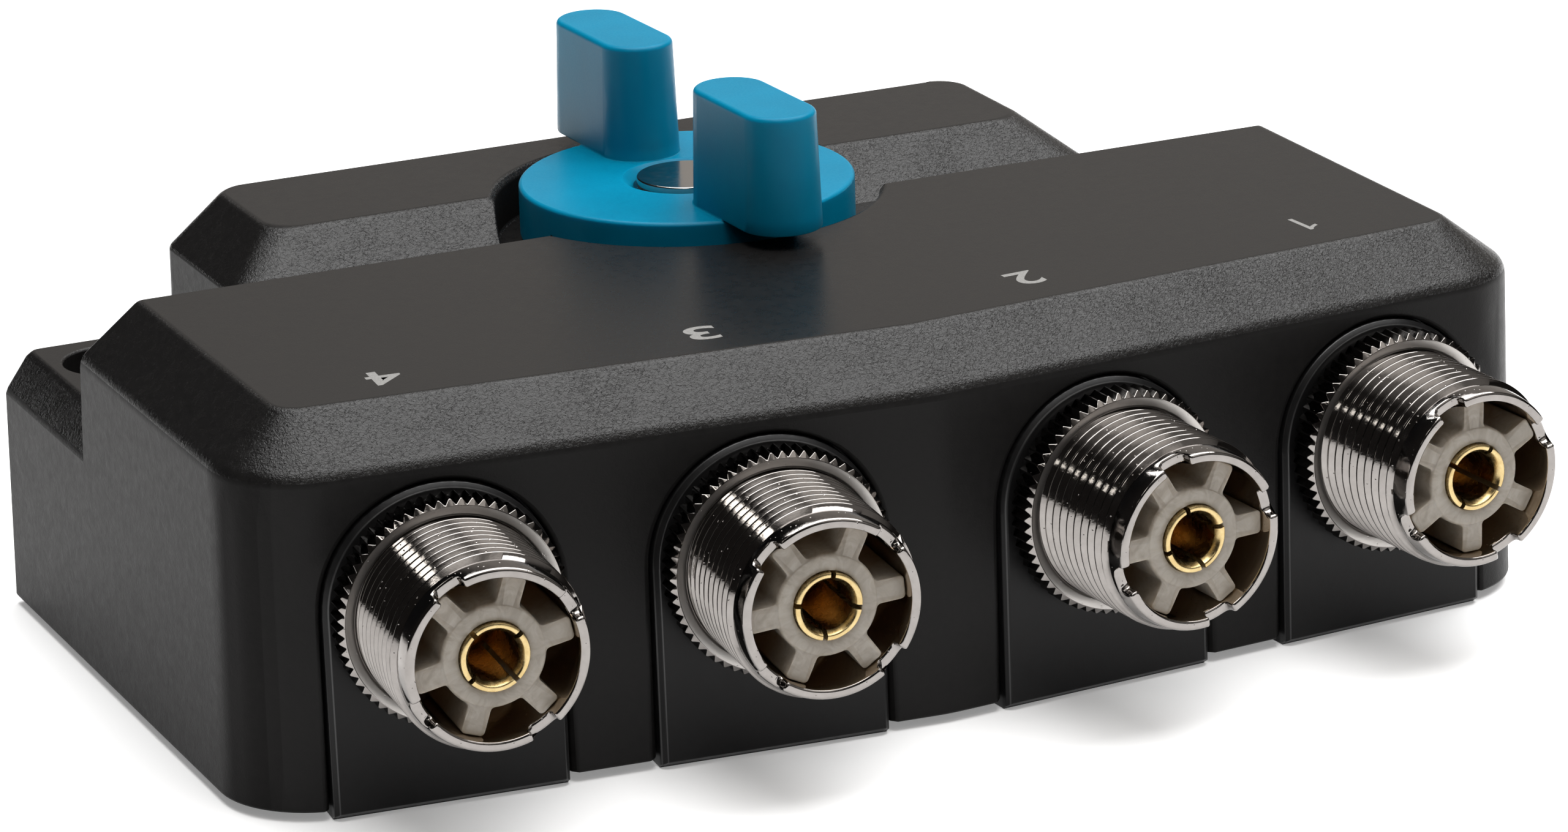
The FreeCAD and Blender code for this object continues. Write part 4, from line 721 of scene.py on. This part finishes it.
# ------------------------------------------------------------------ printed numerals
def numeral(digit, x, y, side):
    if digit == "1":
        outline = [(0.62, -1.75), (0.62, 1.75), (0.30, 1.75), (0.16, 1.50), (-0.10, 1.24), (-0.42, 1.03), (-0.62, 0.94), (-0.62, 0.54), (-0.30, 0.67), (-0.02, 0.84), (0.19, 1.01), (0.19, -1.75)]
        n = len(outline)
        pts = [(x_, y_, z_) for z_ in (-0.03, 0.012) for x_, y_ in outline]
        sides = [(i, (i + 1) % n, n + (i + 1) % n, n + i) for i in range(n)]
        o = mesh_object("numeral_1", pts, [tuple(range(n, 2 * n)), tuple(reversed(range(n)))] + sides, None, 30.0, INK)
        return place_numeral(o, x, y, side)
    cu = bpy.data.curves.new("numeral_" + digit, "FONT")
    cu.body = digit
    cu.size = 1.0
    cu.align_x = "CENTER"
    cu.align_y = "CENTER"
    cu.extrude = 0.004
    cu.offset = 0.016
    cu.resolution_u = 12
    o = bpy.data.objects.new("numeral_" + digit, cu)
    scene.collection.objects.link(o)
    bpy.context.view_layer.update()
    me = bpy.data.meshes.new_from_object(o.evaluated_get(bpy.context.evaluated_depsgraph_get()))
    bpy.data.objects.remove(o)
    xs = [v.co.x for v in me.vertices]
    ys = [v.co.y for v in me.vertices]
    zs = [v.co.z for v in me.vertices]
    cx, cy = (min(xs) + max(xs)) / 2, (min(ys) + max(ys)) / 2
    tall = 3.5 / (max(ys) - min(ys))
    wide = {"1": 1.35, "2": 2.6, "3": 2.65, "4": 2.85}[digit] / (max(xs) - min(xs))
    for v in me.vertices:
        v.co = Vector(((v.co.x - cx) * wide, (v.co.y - cy) * tall, 0.012 if v.co.z > 0 else -0.03)) * MM
    me.name = "numeral_" + digit
    me.materials.clear()
    me.materials.append(INK)
    o = bpy.data.objects.new("numeral_" + digit, me)
    scene.collection.objects.link(o)
    return place_numeral(o, x, y, side)


def place_numeral(o, x, y, side):
    a = side * VEE + math.pi
    o.matrix_world = Matrix.Translation(Vector((x, y, 32.13)) * MM) @ Matrix.Rotation(a, 4, "Z")
    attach(o, "housing")
    return o


numeral("4", -41.82, -22.29, -1)
numeral("3", -15.42, -24.08, -1)
numeral("2", 13.59, -23.60, 1)
numeral("1", 40.77, -21.44, 1)

# ------------------------------------------------------------------ softened edges on the CAD pieces
def moulded_cover():
    """The cover's CAD pieces as one moulding: the flat faces where the pieces meet are left out."""
    bm = bmesh.new()
    names = ("top_cover", "top_cover_rear", "top_cover_ears")
    for name in names:
        me = nodes[name].data.copy()
        me.transform(nodes[name].matrix_world)
        bm.from_mesh(me)
        bpy.data.meshes.remove(me)
    bm.faces.ensure_lookup_table()
    dead = []
    for f in bm.faces:
        ys = [v.co.y / MM for v in f.verts]
        xs = [abs(v.co.x) / MM for v in f.verts]
        if all(abs(y - 6.96) < 0.003 for y in ys):
            dead.append(f)
        elif all(abs(x - 42.0) < 0.003 for x in xs) and min(ys) > 6.95:
            dead.append(f)
    bmesh.ops.delete(bm, geom=dead, context="FACES")
    bmesh.ops.remove_doubles(bm, verts=bm.verts[:], dist=0.00001)
    bmesh.ops.dissolve_limit(bm, angle_limit=math.radians(0.25), use_dissolve_boundaries=False, verts=bm.verts[:], edges=bm.edges[:], delimit=set())
    print("cover: dropped", len(dead), "faces, open edges", sum(1 for e in bm.edges if len(e.link_faces) != 2), "faces", len(bm.faces))
    me = bpy.data.meshes.new("top_cover_moulding")
    bm.to_mesh(me)
    bm.free()
    me.materials.clear()
    me.materials.append(CASE)
    me.shade_smooth()
    me.set_sharp_from_angle(angle=math.radians(24))
    o = bpy.data.objects.new("top_cover_moulding", me)
    scene.collection.objects.link(o)
    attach(o, "housing")
    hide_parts(*names)
    return o


nodes_to_soften = ((moulded_cover(), 0.20, 24), (nodes["base_tray"], 0.15, 24), (nodes["socket_panels"], 0.07, 24), (nodes["knob"], 0.12, 30), (nodes["hub_cap"], 0.05, 30))
for o, width, angle in nodes_to_soften:
    w = o.modifiers.new("weld", "WELD")
    w.merge_threshold = 0.00001
    b = o.modifiers.new("soft_edges", "BEVEL")
    b.width = width * MM
    b.segments = 2
    b.limit_method = "ANGLE"
    b.angle_limit = math.radians(angle)
    b.face_strength_mode = "FSTR_AFFECTED"
    b.use_clamp_overlap = False
    weighted(o).modifiers["weighted_normals"].use_face_influence = True

# ------------------------------------------------------------------ floor and light
bpy.ops.mesh.primitive_plane_add(size=8.0, location=(0, 0, -0.00002))
floor = bpy.context.object
floor.name = "studio_floor"
fm = Net("studio_floor", (0.92, 0.92, 0.92), 0.9, **{"Specular_IOR_Level": 0.1, "Emission_Strength": 0.25})
fm.b.inputs["Emission Color"].default_value = (1.0, 1.0, 1.0, 1.0)
floor.data.materials.append(fm.m)

world = bpy.data.worlds.new("studio")
scene.world = world
world.use_nodes = True
wt = world.node_tree
bg = wt.nodes["Background"]
bg.inputs["Strength"].default_value = 1.0
way = wt.nodes.new("ShaderNodeTexCoord").outputs["Generated"]


def glow(azimuth, elevation, inner, outer, color):
    """A soft patch of the surroundings in one direction (azimuth from +Y towards +X), in degrees."""
    a, e = math.radians(azimuth), math.radians(elevation)
    dot = wt.nodes.new("ShaderNodeVectorMath")
    dot.operation = "DOT_PRODUCT"
    wt.links.new(way, dot.inputs[0])
    dot.inputs[1].default_value = (math.sin(a) * math.cos(e), math.cos(a) * math.cos(e), math.sin(e))
    m = wt.nodes.new("ShaderNodeMapRange")
    m.interpolation_type = "SMOOTHSTEP"
    wt.links.new(dot.outputs["Value"], m.inputs["Value"])
    m.inputs["From Min"].default_value = math.cos(math.radians(outer))
    m.inputs["From Max"].default_value = math.cos(math.radians(inner))
    mix = wt.nodes.new("ShaderNodeMix")
    mix.data_type = "RGBA"
    wt.links.new(m.outputs[0], mix.inputs[0])
    mix.inputs[7].default_value = (*color, 1.0)
    return mix


ROOM = (0.024, 0.022, 0.021, 1.0)
patch = glow(-22, 26, 14, 40, (0.012, 0.012, 0.013))
patch.inputs[6].default_value = ROOM
bright = glow(37, 24, 10, 40, (0.47, 0.44, 0.41))
wt.links.new(patch.outputs[2], bright.inputs[6])
lamp_mid = glow(202.5, 22.8, 1.0, 2.6, (3.4, 3.3, 3.1))
wt.links.new(bright.outputs[2], lamp_mid.inputs[6])
lamp_left = glow(210.5, 39.5, 2.4, 5.4, (6.4, 6.2, 5.9))
wt.links.new(lamp_mid.outputs[2], lamp_left.inputs[6])
fill_right = glow(140.0, 38.0, 18.0, 40.0, (0.30, 0.285, 0.27))
wt.links.new(lamp_left.outputs[2], fill_right.inputs[6])
fill_high = glow(190.0, 64.0, 8.0, 22.0, (1.7, 1.64, 1.58))
wt.links.new(fill_right.outputs[2], fill_high.inputs[6])
lamp_right = glow(150.0, 35.0, 7.0, 17.0, (1.15, 1.10, 1.05))
wt.links.new(fill_high.outputs[2], lamp_right.inputs[6])
wt.links.new(lamp_right.outputs[2], bg.inputs["Color"])


def softbox(name, x, y, z, w, h, power, target=(0.0, 0.0, 0.015), color=(1, 1, 1)):
    data = bpy.data.lights.new(name, "AREA")
    data.shape = "RECTANGLE"
    data.size, data.size_y = w, h
    data.energy = power
    data.color = color
    o = bpy.data.objects.new(name, data)
    scene.collection.objects.link(o)
    o.location = (x, y, z)
    o.rotation_mode = "QUATERNION"
    o.rotation_quaternion = (Vector(target) - Vector((x, y, z))).to_track_quat("-Z", "Y")
    o.visible_camera = False
    return o


softbox("overhead", 0.26, 0.07, 0.80, 1.08, 0.90, 17.7, (0.26, 0.0701, 0.0))

# ------------------------------------------------------------------ camera solved from the photograph
yaw, pitch, roll = math.radians(23.9227), math.radians(-18.3099), math.radians(-1.7671)
F = Vector((math.sin(yaw) * math.cos(pitch), math.cos(yaw) * math.cos(pitch), math.sin(pitch)))
R0 = Vector((math.cos(yaw), -math.sin(yaw), 0))
U0 = R0.cross(F)
R = math.cos(roll) * R0 + math.sin(roll) * U0
U = -math.sin(roll) * R0 + math.cos(roll) * U0
cam_data = bpy.data.cameras.new("camera")
cam_data.sensor_width = 36.0
cam_data.sensor_fit = "HORIZONTAL"
cam_data.lens = 10226.44 / 2560 * 36
cam_data.clip_start, cam_data.clip_end = 0.01, 50.0
cam = bpy.data.objects.new("camera", cam_data)
scene.collection.objects.link(cam)
C = Vector((-202.496, -461.395, 182.345)) * MM
cam.matrix_world = Matrix(((R.x, U.x, -F.x, C.x), (R.y, U.y, -F.y, C.y), (R.z, U.z, -F.z, C.z), (0, 0, 0, 1)))
scene.camera = cam
scene.view_settings.view_transform = "Standard"
scene.view_settings.look = "None"
scene.view_settings.exposure = 0.0
